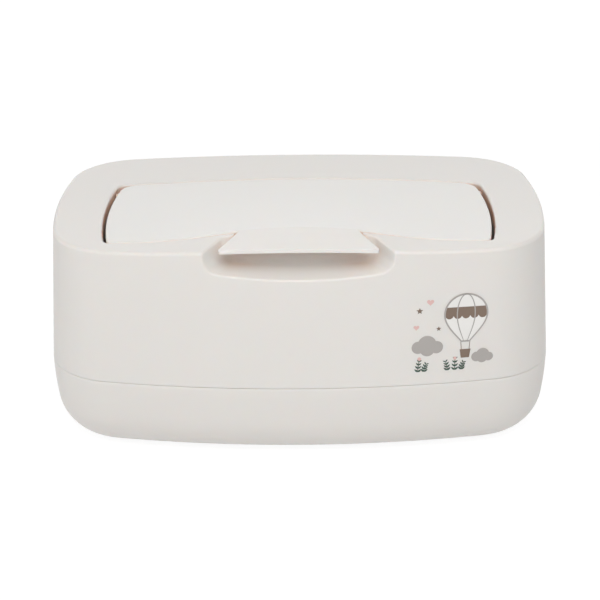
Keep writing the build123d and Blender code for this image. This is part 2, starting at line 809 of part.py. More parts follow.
def make_lid_liner():
    """Inner panel of the lid: gasket groove and the two blocks that carry the pins."""
    plan = lid_face(LID_SKIN + LINER_FIT)
    liner = block(plan, LID_BOTTOM, LID_BOTTOM + LINER_THICKNESS)
    half = PIN_RADIUS + PIN_BOSS_WALL
    block_top = DECK_HEIGHT - LID_SKIN - LINER_FIT
    outer = hinge_block_end()
    inner = outer - HINGE_BLOCK_LENGTH
    for flip in (-1, 1):
        liner -= hinge_notch(flip)
        ends = sorted((flip * inner, flip * outer))
        lug = box(*ends, HINGE_Y - half, HINGE_Y + half, HINGE_Z - half, block_top)
        liner += lug & block(plan, HINGE_Z - half, block_top)
        bore_ends = sorted((flip * (inner - OVERCUT), flip * (outer + OVERCUT)))
        liner -= x_bar(PIN_RADIUS + PIN_SEAT_CLEARANCE, *bore_ends, HINGE_Y, HINGE_Z)
    return liner - gasket_ring(LID_BOTTOM - OVERCUT, LID_BOTTOM + GASKET_SEAT)


def make_lid_gasket():
    """Silicone ring under the lid that closes on the dispensing rim."""
    ring = gasket_ring(GASKET_BOTTOM, GASKET_BOTTOM + GASKET_HEIGHT, -LINER_FIT / 2)
    return fillet(ring.edges().group_by(Axis.Z)[0], GASKET_EDGE_FILLET)


def plate_block(inset, low, high):
    """Upright prism on the weighted plate's plan, which follows the box's own."""
    return block(Face(parting_plan(PLATE_INSET + inset)), low, high)


def slot_bar(growth, low, high):
    """Upright prism on the dispensing slot's round-ended plan, grown outwards."""
    plan = SlotOverall(SLOT_LENGTH + 2 * growth, SLOT_WIDTH + 2 * growth).face()
    return block(plan, low, high)


def make_plate_cover():
    """Top of the weighted plate: a shallow dish with a lipped slot for the wipes."""
    top = PLATE_BOTTOM + PLATE_HEIGHT
    lip_top = top + SLOT_LIP_RISE
    plate = plate_block(0, PLATE_BOTTOM, top)
    plate = fillet(plate.edges().group_by(Axis.Z)[-1], PLATE_EDGE_FILLET)
    plate -= plate_block(PLATE_SKIN, PLATE_BOTTOM - OVERCUT, top - PLATE_SKIN)
    lip = slot_bar(SLOT_LIP_WALL, PLATE_BOTTOM, lip_top)
    lip = fillet(lip.edges().group_by(Axis.Z)[-1], SLOT_LIP_FILLET)
    plate += lip
    return plate - slot_bar(0, PLATE_BOTTOM - OVERCUT, lip_top + OVERCUT)


def make_plate_base():
    """Bottom of the weighted plate, which closes it and holds the weights."""
    top = PLATE_BOTTOM + PLATE_BASE_THICKNESS
    base = plate_block(PLATE_SKIN + PLATE_FIT, PLATE_BOTTOM, top)
    growth = SLOT_LIP_WALL + PLATE_FIT
    return base - slot_bar(growth, PLATE_BOTTOM - OVERCUT, top + OVERCUT)


def make_plate_weight(flip):
    """Flat steel bar sealed inside the plate, between the slot and the plate's edge."""
    bow = FRONT_BOW_RADIUS - PLATE_INSET - PLATE_SKIN
    bow_c = BOX_DEPTH / 2 - FRONT_BOW_RADIUS
    edge = bow_c + math.sqrt(bow**2 - (WEIGHT_LENGTH / 2) ** 2)
    far = edge - WEIGHT_MARGIN
    near = SLOT_WIDTH / 2 + SLOT_LIP_WALL + WEIGHT_MARGIN
    low = PLATE_BOTTOM + PLATE_BASE_THICKNESS
    high = low + WEIGHT_HEIGHT
    y = flip * (near + far) / 2
    return bar(WEIGHT_LENGTH, far - near, WEIGHT_CORNER, low, high, y)


def build():
    """Every piece of the box by its name."""
    pieces = {
        "base_tray": make_base_tray(),
        "base_seal": make_base_seal(),
        "upper_shell": make_upper_shell(),
        "lid_cover": make_lid_cover(),
        "lid_liner": make_lid_liner(),
        "lid_gasket": make_lid_gasket(),
        "hinge_pin_left": make_hinge_pin(-1),
        "hinge_pin_right": make_hinge_pin(1),
        "plate_cover": make_plate_cover(),
        "plate_base": make_plate_base(),
        "plate_weight_front": make_plate_weight(-1),
        "plate_weight_rear": make_plate_weight(1),
    }
    for name, place in foot_places().items():
        pieces[name] = make_foot(place)
    return pieces


os.makedirs("parts", exist_ok=True)
for piece_name, piece in build().items():
    export_step(piece, f"parts/{piece_name}.step")
    print(piece_name, len(piece.solids()), "solid,", round(piece.volume / 1000, 2), "cm3")
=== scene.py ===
"""Looks of a baby wipes box: satin plastic shells, a leafy print, silicone seals and a plain studio."""

import math

import bmesh
import bpy
from bpy.props import FloatProperty, FloatVectorProperty, IntProperty, PointerProperty
from bpy.types import Operator, Panel, PropertyGroup
from mathutils import Euler, Matrix, Vector


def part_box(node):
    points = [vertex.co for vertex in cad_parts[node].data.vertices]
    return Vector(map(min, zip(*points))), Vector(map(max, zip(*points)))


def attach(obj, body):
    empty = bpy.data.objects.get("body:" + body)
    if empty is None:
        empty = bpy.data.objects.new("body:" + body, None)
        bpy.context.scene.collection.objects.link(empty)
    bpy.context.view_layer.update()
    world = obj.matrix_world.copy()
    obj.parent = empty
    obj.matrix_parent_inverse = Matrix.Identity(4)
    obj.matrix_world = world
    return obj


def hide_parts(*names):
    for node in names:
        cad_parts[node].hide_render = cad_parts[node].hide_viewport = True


bl_info = {
    "name": "Baby wipes box",
    "version": (1, 0, 0),
    "blender": (4, 5, 0),
    "location": "View3D > Sidebar > Wipes box",
    "description": "Dresses a hinged baby wipes box and sets it in a plain studio",
    "category": "Object",
}

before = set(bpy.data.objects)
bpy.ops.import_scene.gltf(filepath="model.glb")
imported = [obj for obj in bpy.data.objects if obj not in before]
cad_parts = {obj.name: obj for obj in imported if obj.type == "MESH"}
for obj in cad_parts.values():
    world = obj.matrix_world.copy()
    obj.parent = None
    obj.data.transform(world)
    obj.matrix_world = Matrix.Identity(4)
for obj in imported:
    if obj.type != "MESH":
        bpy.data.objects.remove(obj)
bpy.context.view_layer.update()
TRAY_LOW, TRAY_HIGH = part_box("base_tray")
GASKET_LOW, GASKET_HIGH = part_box("lid_gasket")
FOOT_LOW, FOOT_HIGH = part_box("foot_front_right")
FOOT_RADIUS = (FOOT_HIGH.x - FOOT_LOW.x) / 2
FOOT_PITCH = {"Pitch across": FOOT_HIGH.x + FOOT_LOW.x, "Pitch back": -(FOOT_HIGH.y + FOOT_LOW.y)}

MM = 0.001
SMOOTH_UNDER = math.radians(28)
CAD_WELD = 1e-6
SWEEP_WELD = 2e-6

# How finely the tray's rounds are drawn
SIDE_STEPS = 26
CORNER_STEPS = 34
BOW_STEPS = 96
LOW_ROUND_STEPS = 14
SIDE_ROUND_STEPS = 12

# The spigot's edges and groove, its seal, and the gasket under the lid
TRAY_BEVEL = 0.4 * MM
INNER_ROOT = 6 * MM
SEAL_RISE = 3 * MM
SEAL_HEIGHT = 2.4 * MM
SEAL_GAP = 0.3 * MM
SEAL_ROUND = 0.25 * MM
GROOVE_DEPTH = 1 * MM
GASKET_WIDTH = 4.1 * MM
GASKET_CORNER = 21.1 * MM
GASKET_ROUND = 0.5 * MM
GASKET_CORNER_STEPS = 16
SECTION_CORNER_STEPS = 4

# The pads under the tray
PAD_TOP_EDGE = 0.2 * MM
PAD_FOOT_EDGE = 0.4 * MM
PAD_STEPS = 64
TREAD_RINGS = 3
TREAD_START = 1.6 * MM
TREAD_PITCH = 1.8 * MM
TREAD_WIDTH = 0.9 * MM
TREAD_SLOPE = 0.2 * MM
TREAD_DEPTH = 0.3 * MM
POCKET_STEPS = 96

# How the plastic takes the light
GRAIN_HEIGHT = 0.03 * MM
GLOW_RADII = (1.0, 0.5, 0.3)
GLOW_DEPTH = 4 * MM
# Painted shade: where an ambient occlusion probe finds the surface closed in, as in gaps, folds and under
# the tab, the colour loses some green and blue, so it is painted darker and warmer
PAINTED_SHADE_REACH = 12 * MM
PAINTED_SHADE_SAMPLES = 12
PAINTED_SHADE_BELOW = 0.15
NO_PAINTED_SHADE_ABOVE = 0.8
PAINTED_SHADE_LOSS = (0.0, 0.3, 0.46)

# The print's design, in millimetres from its middle, as the outline functions take it
BALLOON = (7.0, 18.6, 19.5, 23.0)
BALLOON_BAND = (7.0, 12.4, 8.6, 9.1, 9.5, 5)
BASKET = (7.0, -8.4, 5.0, 4.2)
THREADS = ((5.2, -4.2, -8.5, -0.3), (8.8, -4.2, -8.5, 0.3))
CLOUDS = (
    ((-14.6, -6.4, 3.0), (-10.6, -5.0, 4.2), (-6.2, -6.6, 3.0), (-10.4, -7.4, 3.4)),
    ((12.4, -12.6, 2.4), (15.2, -11.6, 3.0), (18.0, -12.9, 2.1), (15.0, -13.2, 2.5)),
)
STARS = ((-14.2, 11.4, 3.2), (-5.4, 2.4, 2.4))
HEARTS = ((-9.4, 15.4, 3.2), (-15.6, 3.4, 2.6))
DOTS = ((-14.0, -12.0, 1.7), (2.4, -12.6, 1.5))
SPRIGS = ((-14.6, 5.0, 0.5), (-11.8, 3.6, 0.9), (-1.0, 4.2, -0.8), (2.4, 5.4, 0.1), (5.4, 3.4, 0.9))
STEM_FOOT = -18.4
LINE = 0.75
SEAM_LINE = 0.7 * LINE

# Shares and steps of the print, and where its rays start ahead of it, in metres
SEAM_WIDTH = 0.42
STEM_STEPS = 8
LEAF_AT_FOOT = 1.05
LEAF_FALL = 0.45
LAYER_STEP = 0.4
WALL_AHEAD = (0, -0.2, 0)
INK = {"roughness": 0.5, "grain": 0.08, "grain_size": 1400.0, "drift_scale": 60.0}

# The studio: places and reaches are in metres, and the sensor's width is in millimetres
FLOOR_REACH = 6.0
PAPER_TONE = 0.92
PAPER_ROUGHNESS = 0.9
SHADE_TONE = 0.18
GLOW_BY_BOX = 0.9
GLOW_FADE = (0.3, 1.2)
LAMPS = (
    ("near", (0.08, -0.5, 0.75), 0.6),
    ("key", (0.1, -0.95, 0.8), 0.6),
    ("left", (-1.1, -0.4, 0.6), 1.0),
    ("right", (1.1, -0.4, 0.6), 1.0),
    ("back", (0.0, 1.4, 0.9), 1.8),
    ("rear", (0.9, 1.2, 0.25), 0.8),
)
SENSOR_WIDTH = 36
CLIP_START = 0.05

# The spacing of nodes, kinds of socket, and inputs that two trees share
NODE_COLUMN = 220
NODE_ROW = 180
NUMBER = "NodeSocketFloat"
COLOUR = "NodeSocketColor"
OBJECT = "NodeSocketObject"
PITCH_INPUTS = (("Pitch across", NUMBER, 0.156), ("Pitch back", NUMBER, 0.066))
WALL_INPUTS = (("Wall", OBJECT, None), ("Proud", NUMBER, 0.05 * MM))


# Settings


def number(name, description, default, **limits):
    """A plain number that a user can change."""
    return FloatProperty(name=name, description=description, default=default, **limits)


def length(name, description, default):
    """A size in metres that a user can change."""
    return number(name, description, default, subtype="DISTANCE", unit="LENGTH", precision=5)


def share(name, description, default):
    """A number from 0 to 1 that a user can change."""
    return number(name, description, default, min=0, max=1)


def colour(name, description, default):
    """A colour that a user can change, as linear red, green and blue."""
    return FloatVectorProperty(
        name=name, description=description, default=default, subtype="COLOR", size=3, min=0, max=1
    )


class TraySizes(PropertyGroup):
    """Sizes of the dished base."""

    front_bow: length("Front bow", "Radius of the bowed front and back", 0.472)
    side_bow: length("Side bow", "Radius of the bowed sides", 0.243)
    corner: length("Corner", "Radius of the plan's corners", 0.035)
    parting: length("Parting line", "Height of the line between tray and shell", 0.0396)
    wall: length("Wall", "Thickness of the tray", 0.0026)
    side_round: length("Side round", "Radius of the side's outward curve", 0.145)
    bottom_round: length("Bottom round", "Radius where side and floor meet", 0.022)
    foot_proud: length("Foot stand", "Height of the floor above the table", 0.0008)
    foot_fit: length("Foot fit", "Clearance round a foot in its pocket", 0.0001)
    shell_wall: length("Shell wall", "Thickness of the shell that drops over the spigot", 0.0024)
    spigot_gap: length("Spigot gap", "Clearance between spigot and shell", 0.0006)
    spigot_wall: length("Spigot wall", "Thickness of the spigot", 0.002)
    spigot_height: length("Spigot height", "Height of the spigot above the parting line", 0.008)
    draft: number("Draft", "Inward lean of the walls for each unit of height", 0.0643)


class PrintSizes(PropertyGroup):
    """Sizes of the printed picture on the front wall."""

    middle_x: length("Across", "Middle of the print, from the box's middle", 0.0685)
    middle_z: length("Height", "Middle of the print, above the table", 0.0645)
    proud: length("Ink height", "How far the ink stands off the wall", 0.00005)
    leaf: length("Leaf", "Length of a leaf", 0.0021)
    leaves: IntProperty(
        name="Leaves", description="Leaves along each side of a sprig", default=4, min=2, max=20
    )


class Finishes(PropertyGroup):
    """Colours and grain of the materials."""

    shell: colour("Shell", "Colour of the box's plastic", (0.735, 0.708, 0.676))
    lid: colour("Lid", "Colour of the lid's plastic", (0.758, 0.738, 0.71))
    plate: colour("Plate", "Colour of the inner plate", (0.74, 0.725, 0.7))
    silicone: colour("Silicone", "Colour of seal and gasket", (0.69, 0.69, 0.67))
    rubber: colour("Rubber", "Colour of the feet", (0.6, 0.6, 0.58))
    steel: colour("Steel", "Colour of the weights", (0.52, 0.52, 0.53))
    leaf_green: colour("Leaf ink", "Green ink", (0.045, 0.085, 0.062))
    warm_brown: colour("Brown ink", "Brown ink", (0.195, 0.138, 0.102))
    soft_grey: colour("Grey ink", "Grey ink", (0.39, 0.365, 0.345))
    pale_pink: colour("Pink ink", "Pink ink", (0.70, 0.46, 0.43))
    chalk: colour("White ink", "White ink", (0.79, 0.775, 0.75))
    grain: share("Grain", "Depth of the mould's fine grain", 0.05)
    glow_through: share("Glow through", "Share of light that passes into the plastic", 0.2)
    # Painted shade: how far the plastic's colour is darkened and warmed in gaps and folds
    painted_shade: share("Sheltered tint", "Warmth of the plastic in gaps and folds", 0.9)


class StudioSetup(PropertyGroup):
    """Camera and light."""

    turn: number("Turn", "Angle round the box, in degrees", 0.2135)
    rise: number("Rise", "Angle above the table, in degrees", 24.162)
    roll: number("Roll", "Lean of the picture, in degrees", 0.514)
    distance: length("Distance", "From the camera to the aim point", 0.79165)
    aim: length("Aim height", "Height of the aim point", 0.05)
    lens: number("Lens", "Focal length in millimetres", 95.86)
    shift_x: number("Shift across", "Camera shift across", 0.000752, precision=6)
    shift_y: number("Shift up", "Camera shift up", 0.004377, precision=6)
    near: number("Near", "Power of the lamp close above the front, in watts", 2.7)
    key: number("Key", "Power of the lamp in front, in watts", 4.1)
    left: number("Left", "Power of the lamp on the left, in watts", 4.6)
    right: number("Right", "Power of the lamp on the right, in watts", 1.1)
    back: number("Back", "Power of the wide lamp behind, in watts", 8.3)
    rear: number("Rear", "Power of the low lamp behind on the right, in watts", 1.8)
    sky: number("Sky", "Strength of the even light all round", 0.2)


# Node helpers


def feed(tree, socket, value):
    """Links a socket to another, or sets its value."""
    if isinstance(value, bpy.types.NodeSocket):
        tree.links.new(value, socket)
    else:
        socket.default_value = value


def feed_all(tree, node, feeds):
    """Feeds several inputs of a node, each given by its label or number."""
    for label, value in feeds.items():
        feed(tree, node.inputs[label], value)


def place(tree, kind, column, row, feeds=None, **options):
    """A new node at a grid place, with its options set and its inputs fed."""
    node = tree.nodes.new(kind)
    node.location = (column * NODE_COLUMN, -row * NODE_ROW)
    for key, value in options.items():
        setattr(node, key, value)
    feed_all(tree, node, feeds or {})
    return node


def maths(tree, operation, column, row, *values):
    """A maths node; each value is a number or a socket."""
    feeds = dict(enumerate(values))
    return place(tree, "ShaderNodeMath", column, row, feeds, operation=operation).outputs[0]


def vector_maths(tree, operation, column, row, *values):
    """A vector maths node; each value is a vector, a number or a socket."""
    labels = (0, "Scale") if operation == "SCALE" else range(len(values))
    feeds = dict(zip(labels, values))
    return place(tree, "ShaderNodeVectorMath", column, row, feeds, operation=operation).outputs[0]


def eased(tree, column, row, value, low, high, at_low, at_high):
    """A value that eases from one level to another between two bounds."""
    feeds = {"Value": value, "From Min": low, "From Max": high, "To Min": at_low, "To Max": at_high}
    node = place(tree, "ShaderNodeMapRange", column, row, feeds, interpolation_type="SMOOTHSTEP")
    return node.outputs["Result"]


def new_tree(name, kind, inputs, outputs):
    """A node tree with named inputs and outputs, and its two end nodes."""
    tree = bpy.data.node_groups.new(name, kind)
    for way, sockets in (("INPUT", inputs), ("OUTPUT", outputs)):
        for label, socket_type, default in sockets:
            socket = tree.interface.new_socket(label, in_out=way, socket_type=socket_type)
            if default is not None:
                socket.default_value = default
    return tree, place(tree, "NodeGroupInput", -3, 0), place(tree, "NodeGroupOutput", 14, 0)


def shape_tree(name, *inputs):
    """A Geometry Nodes tree with named inputs and a material, and its two end nodes."""
    inputs = (*inputs, ("Material", "NodeSocketMaterial", None))
    return new_tree(name, "GeometryNodeTree", inputs, [("Geometry", "NodeSocketGeometry", None)])


# Making and dressing objects


def linked(name, data):
    """A new object in the scene."""
    piece = bpy.data.objects.new(name, data)
    bpy.context.scene.collection.objects.link(piece)
    return piece


def grown(tree, values, name, keep=()):
    """A plain mesh made by a Geometry Nodes tree with the given inputs; what it grew from is removed."""
    seed = linked(name + "_seed", bpy.data.meshes.new(name + "_seed"))
    modifier = seed.modifiers.new("shape", "NODES")
    modifier.node_group = tree
    for item in tree.interface.items_tree:
        if item.item_type == "SOCKET" and item.in_out == "INPUT" and item.name in values:
            modifier[item.identifier] = values[item.name]
    bpy.context.view_layer.update()
    graph = bpy.context.evaluated_depsgraph_get()
    mesh = bpy.data.meshes.new_from_object(seed.evaluated_get(graph), depsgraph=graph)
    mesh.name = name
    bpy.data.objects.remove(seed)
    for value in values.values():
        if isinstance(value, bpy.types.Object) and value not in keep:
            bpy.data.objects.remove(value)
    if not mesh.polygons:
        raise RuntimeError(f"{name} came out empty")
    return linked(name, mesh)


def line_object(name, *loops, closed=False):
    """A poly curve through each list of points, used as a path, a section or an outline with holes."""
    data = bpy.data.curves.new(name, "CURVE")
    data.dimensions = "3D"
    for points in loops:
        spline = data.splines.new("POLY")
        spline.points.add(len(points) - 1)
        for point, (x, y) in zip(spline.points, points):
            point.co = (x, y, 0, 1)
        spline.use_cyclic_u = closed
    return linked(name, data)


def reworked(mesh, change):
    """Makes one change to a mesh in its editable form."""
    work = bmesh.new()
    work.from_mesh(mesh)
    change(work)
    work.to_mesh(mesh)
    work.free()


def fill_holes(work):
    """Closes a mesh's open edges with faces."""
    bmesh.ops.holes_fill(work, edges=[edge for edge in work.edges if edge.is_boundary], sides=0)


def outward(piece):
    """Turns a closed piece's faces outwards and keeps its crisp edges."""
    reworked(piece.data, lambda work: bmesh.ops.recalc_face_normals(work, faces=work.faces))
    return softened(piece)


def softened(piece):
    """Smooth shading, sharp only where faces meet at more than a slight angle."""
    piece.data.shade_smooth()
    piece.data.set_sharp_from_angle(angle=SMOOTH_UNDER)
    return piece


def merged_copy(node, name):
    """A welded, smooth copy of a CAD node, which stands for it."""
    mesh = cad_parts[node].data.copy()
    mesh.name = name
    piece = linked(name, mesh)
    reworked(mesh, lambda work: bmesh.ops.remove_doubles(work, verts=work.verts, dist=CAD_WELD))
    softened(piece)
    weights = piece.modifiers.new("even_shading", "WEIGHTED_NORMAL")
    weights.keep_sharp = True
    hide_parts(node)
    return piece


def dress(piece, material, body):
    """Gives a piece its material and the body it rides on."""
    piece.data.materials.clear()
    piece.data.materials.append(material)
    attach(piece, body)


# Shader groups and materials


def object_noise(tree, scale, detail):
    """Noise over an object's own coordinates."""
    where = place(tree, "ShaderNodeTexCoord", -3, 2)
    feeds = {"Vector": where.outputs["Object"], "Scale": scale, "Detail": detail}
    return place(tree, "ShaderNodeTexNoise", 0, 0, feeds).outputs["Fac"]


def grain_group():
    """Fine moulded grain as a normal, from Object coordinates."""
    name = "moulded_grain"
    if name in bpy.data.node_groups:
        return bpy.data.node_groups[name]
    inputs = [("Size", NUMBER, 900.0), ("Depth", NUMBER, 0.05)]
    tree, start, end = new_tree(name, "ShaderNodeTree", inputs, [("Normal", "NodeSocketVector", None)])
    feeds = {
        "Distance": GRAIN_HEIGHT,
        "Strength": start.outputs["Depth"],
        "Height": object_noise(tree, start.outputs["Size"], 3),
    }
    bump = place(tree, "ShaderNodeBump", 4, 0, feeds)
    feed(tree, end.inputs["Normal"], bump.outputs["Normal"])
    return tree


def drift_and_painted_shade_group():
    """Slow drift of colour and gloss over a moulding, and painted shade: a darker, warmer colour where the
    surface is closed in.
    """
    name = "tone_drift"
    if name in bpy.data.node_groups:
        return bpy.data.node_groups[name]
    inputs = [
        ("Colour", COLOUR, (0.7, 0.7, 0.7, 1)),
        ("Amount", NUMBER, 0.03),
        ("Scale", NUMBER, 9.0),
        ("Roughness", NUMBER, 0.4),
        ("Roughness drift", NUMBER, 0.05),
        ("Openness", NUMBER, 1.0),
        ("Sheltered tint", NUMBER, 0.0),
    ]
    outputs = [("Colour", COLOUR, None), ("Roughness", NUMBER, None)]
    tree, start, end = new_tree(name, "ShaderNodeTree", inputs, outputs)
    given = start.outputs
    swing = maths(tree, "SUBTRACT", 2, 0, object_noise(tree, given["Scale"], 2), 0.5)
    shade = maths(tree, "MULTIPLY_ADD", 4, 0, swing, given["Amount"], 1.0)
    tinted = vector_maths(tree, "SCALE", 6, 0, given["Colour"], shade)
    # Painted shade: the more closed in a place is, the more green and blue its colour loses
    closed = eased(tree, 4, 4, given["Openness"], PAINTED_SHADE_BELOW, NO_PAINTED_SHADE_ABOVE, 1.0, 0.0)
    painted_shade_amount = maths(tree, "MULTIPLY", 6, 4, closed, given["Sheltered tint"])
    painted_shade_loss = vector_maths(tree, "SCALE", 8, 4, PAINTED_SHADE_LOSS, painted_shade_amount)
    painted_shade_factor = vector_maths(tree, "SUBTRACT", 9, 4, (1.0, 1.0, 1.0), painted_shade_loss)
    rough = maths(tree, "MULTIPLY_ADD", 4, 2, swing, given["Roughness drift"], given["Roughness"])
    feed_all(tree, end, {"Colour": vector_maths(tree, "MULTIPLY", 10, 0, tinted, painted_shade_factor), "Roughness": rough})
    return tree


def finish_material(
    name,
    tint,
    roughness,
    grain,
    grain_size=900.0,
    drift=0.03,
    drift_scale=9.0,
    metal=0.0,
    glow_through=0.0,
    painted_shade=0.0,
):
    """A moulded or rolled finish: drifting tone, varied gloss, fine grain, a little light through it, and
    painted shade in gaps and folds where asked.
    """
    material = bpy.data.materials.new(name)
    material.use_nodes = True
    tree = material.node_tree
    feeds = {
        "Colour": (*tint, 1),
        "Amount": drift,
        "Scale": drift_scale,
        "Roughness": roughness,
        "Sheltered tint": painted_shade,
    }
    # Painted shade: an ambient occlusion probe tells how closed in each place is
    if painted_shade:
        reach = {"Distance": PAINTED_SHADE_REACH}
        painted_shade_probe = place(tree, "ShaderNodeAmbientOcclusion", -6, 0, reach, samples=PAINTED_SHADE_SAMPLES)
        feeds["Openness"] = painted_shade_probe.outputs["AO"]
    tone = place(tree, "ShaderNodeGroup", -4, 0, feeds, node_tree=drift_and_painted_shade_group())
    feeds = {"Size": grain_size, "Depth": grain}
    fine = place(tree, "ShaderNodeGroup", -4, 3, feeds, node_tree=grain_group())
    feeds = {
        "Metallic": metal,
        "Subsurface Weight": glow_through,
        "Subsurface Radius": GLOW_RADII,
        "Subsurface Scale": GLOW_DEPTH,
        "Base Color": tone.outputs["Colour"],
        "Roughness": tone.outputs["Roughness"],
        "Normal": fine.outputs["Normal"],
    }
    feed_all(tree, tree.nodes["Principled BSDF"], feeds)
    return material


# Shape trees


def object_shape(tree, column, row, source):
    """The geometry of the object that a socket names."""
    return place(tree, "GeometryNodeObjectInfo", column, row, {"Object": source}).outputs["Geometry"]


def point_count(tree, column, row, curve):
    """The number of points on a curve."""
    size = place(tree, "GeometryNodeAttributeDomainSize", column, row, {0: curve}, component="CURVE")
    return size.outputs["Point Count"]


def coat(tree, start, end, geometry, column):
    """Ends a tree: real meshes in place of instances, and their material."""
    real = place(tree, "GeometryNodeRealizeInstances", column, 2, {0: geometry})
    feeds = {"Geometry": real.outputs[0], "Material": start.outputs["Material"]}
    paint = place(tree, "GeometryNodeSetMaterial", column, 3, feeds)
    feed(tree, end.inputs["Geometry"], paint.outputs[0])


def swept_tree():
    """Sweeps a section, given as inset and height, round a closed outline."""
    name = "section_round_outline"
    if name in bpy.data.node_groups:
        return bpy.data.node_groups[name]
    tree, start, end = shape_tree(name, ("Outline", OBJECT, None), ("Section", OBJECT, None))
    path = object_shape(tree, -1, 0, start.outputs["Outline"])
    section = object_shape(tree, -1, 2, start.outputs["Section"])
    around = point_count(tree, 0, 0, path)
    upward = point_count(tree, 0, 2, section)
    columns = maths(tree, "ADD", 1, 0, around, 1)
    grid = place(tree, "GeometryNodeMeshGrid", 2, 0, {"Vertices X": columns, "Vertices Y": upward})
    spot = place(tree, "GeometryNodeInputPosition", 1, 3)
    parts = place(tree, "ShaderNodeSeparateXYZ", 2, 3, {0: spot.outputs[0]})
    share_u = maths(tree, "ADD", 3, 3, parts.outputs["X"], 0.5)
    share_v = maths(tree, "ADD", 3, 4, parts.outputs["Y"], 0.5)
    column = maths(tree, "ROUND", 5, 3, maths(tree, "MULTIPLY", 4, 3, share_u, around))
    wrapped = maths(tree, "MODULO", 6, 3, column, around)
    last_row = maths(tree, "SUBTRACT", 3, 5, upward, 1)
    row = maths(tree, "ROUND", 5, 4, maths(tree, "MULTIPLY", 4, 4, share_v, last_row))
    here = place(tree, "GeometryNodeInputPosition", 5, 6)
    heading = place(tree, "GeometryNodeInputTangent", 5, 7)

    def read(source, field, index, row_at):
        """A field of a curve, read at one of its points."""
        feeds = {"Geometry": source, "Value": field, "Index": index}
        pick = place(tree, "GeometryNodeSampleIndex", 7, row_at, feeds, data_type="FLOAT_VECTOR")
        return pick.outputs[0]

    on_path = read(path, here.outputs[0], wrapped, 3)
    along = read(path, heading.outputs[0], wrapped, 5)
    on_section = read(section, here.outputs[0], row, 7)
    inward = vector_maths(tree, "CROSS_PRODUCT", 8, 5, (0, 0, 1), along)
    offset = place(tree, "ShaderNodeSeparateXYZ", 8, 7, {0: on_section})
    moved = vector_maths(tree, "SCALE", 9, 5, inward, offset.outputs["X"])
    level = place(tree, "ShaderNodeCombineXYZ", 9, 7, {"Z": offset.outputs["Y"]})
    flat = vector_maths(tree, "ADD", 10, 4, on_path, moved)
    final = vector_maths(tree, "ADD", 11, 4, flat, level.outputs[0])
    feeds = {"Geometry": grid.outputs["Mesh"], "Position": final}
    shaped = place(tree, "GeometryNodeSetPosition", 12, 0, feeds)
    feeds = {"Geometry": shaped.outputs[0], "Distance": SWEEP_WELD}
    welded = place(tree, "GeometryNodeMergeByDistance", 13, 0, feeds)
    coat(tree, start, end, welded.outputs[0], 13)
    return tree


def at_four_places(tree, start, shape, column):
    """Instances of a shape at the corners of a rectangle."""
    feeds = {
        "Vertices X": 2,
        "Vertices Y": 2,
        "Size X": start.outputs["Pitch across"],
        "Size Y": start.outputs["Pitch back"],
    }
    places = place(tree, "GeometryNodeMeshGrid", column, 4, feeds)
    feeds = {"Points": places.outputs["Mesh"], "Instance": shape}
    return place(tree, "GeometryNodeInstanceOnPoints", column + 1, 2, feeds).outputs[0]


def foot_set_tree():
    """One pad swept round its own edge and set out at four places."""
    tree, start, end = shape_tree(
        "pads_on_a_grid", ("Outline", OBJECT, None), ("Section", OBJECT, None), *PITCH_INPUTS
    )
    feeds = {label: start.outputs[label] for label in ("Outline", "Section", "Material")}
    pad = place(tree, "GeometryNodeGroup", 0, 0, feeds, node_tree=swept_tree())
    coat(tree, start, end, at_four_places(tree, start, pad.outputs[0], 2), 5)
    return tree


def pocket_tree():
    """Cuts round pockets for the pads into the underside of a body, at four places."""
    tree, start, end = shape_tree(
        "pockets_on_a_grid",
        ("Body", OBJECT, None),
        ("Radius", NUMBER, 0.0081),
        ("Top", NUMBER, 0.0018),
        *PITCH_INPUTS,
    )
    body = object_shape(tree, -1, 0, start.outputs["Body"])
    feeds = {
        "Vertices": POCKET_STEPS,
        "Radius": start.outputs["Radius"],
        "Depth": maths(tree, "MULTIPLY", -1, 3, start.outputs["Top"], 2),
    }
    drill = place(tree, "GeometryNodeMeshCylinder", 0, 2, feeds)
    spread = at_four_places(tree, start, drill.outputs["Mesh"], 1)
    drills = place(tree, "GeometryNodeRealizeInstances", 3, 2, {0: spread})
    feeds = {"Mesh 1": body, "Mesh 2": drills.outputs[0]}
    cut = place(tree, "GeometryNodeMeshBoolean", 4, 0, feeds, operation="DIFFERENCE", solver="EXACT")
    coat(tree, start, end, cut.outputs["Mesh"], 6)
    return tree


def onto_wall(tree, start, end, flat, column):
    """Ends a tree: stands flat shapes upright and presses them onto the wall from the front."""
    feeds = {"Geometry": flat, "Rotation": (math.pi / 2, 0, 0)}
    upright = place(tree, "GeometryNodeTransform", column, 0, feeds)
    fine = place(tree, "GeometryNodeSubdivideMesh", column + 1, 0, {"Mesh": upright.outputs[0], "Level": 2})
    wall = object_shape(tree, column + 1, 3, start.outputs["Wall"])
    spot = place(tree, "GeometryNodeInputPosition", column + 1, 5)
    ahead = vector_maths(tree, "ADD", column + 2, 5, spot.outputs[0], WALL_AHEAD)
    feeds = {"Target Geometry": wall, "Source Position": ahead, "Ray Direction": (0, 1, 0), "Ray Length": 1}
    cast = place(tree, "GeometryNodeRaycast", column + 3, 3, feeds)
    lift = vector_maths(tree, "SCALE", column + 4, 5, cast.outputs["Hit Normal"], start.outputs["Proud"])
    target = vector_maths(tree, "ADD", column + 5, 5, cast.outputs["Hit Position"], lift)
    feeds = {"Geometry": fine.outputs[0], "Selection": cast.outputs["Is Hit"], "Position": target}
    pressed = place(tree, "GeometryNodeSetPosition", column + 5, 0, feeds)
    coat(tree, start, end, pressed.outputs[0], column + 6)


def inked_tree():
    """Fills closed outlines with ink and presses them onto the wall."""
    tree, start, end = shape_tree("inked_shape", ("Outline", OBJECT, None), *WALL_INPUTS)
    outline = object_shape(tree, -1, 0, start.outputs["Outline"])
    fill = place(tree, "GeometryNodeFillCurve", 0, 0, {"Curve": outline})
    onto_wall(tree, start, end, fill.outputs[0], 1)
    return tree


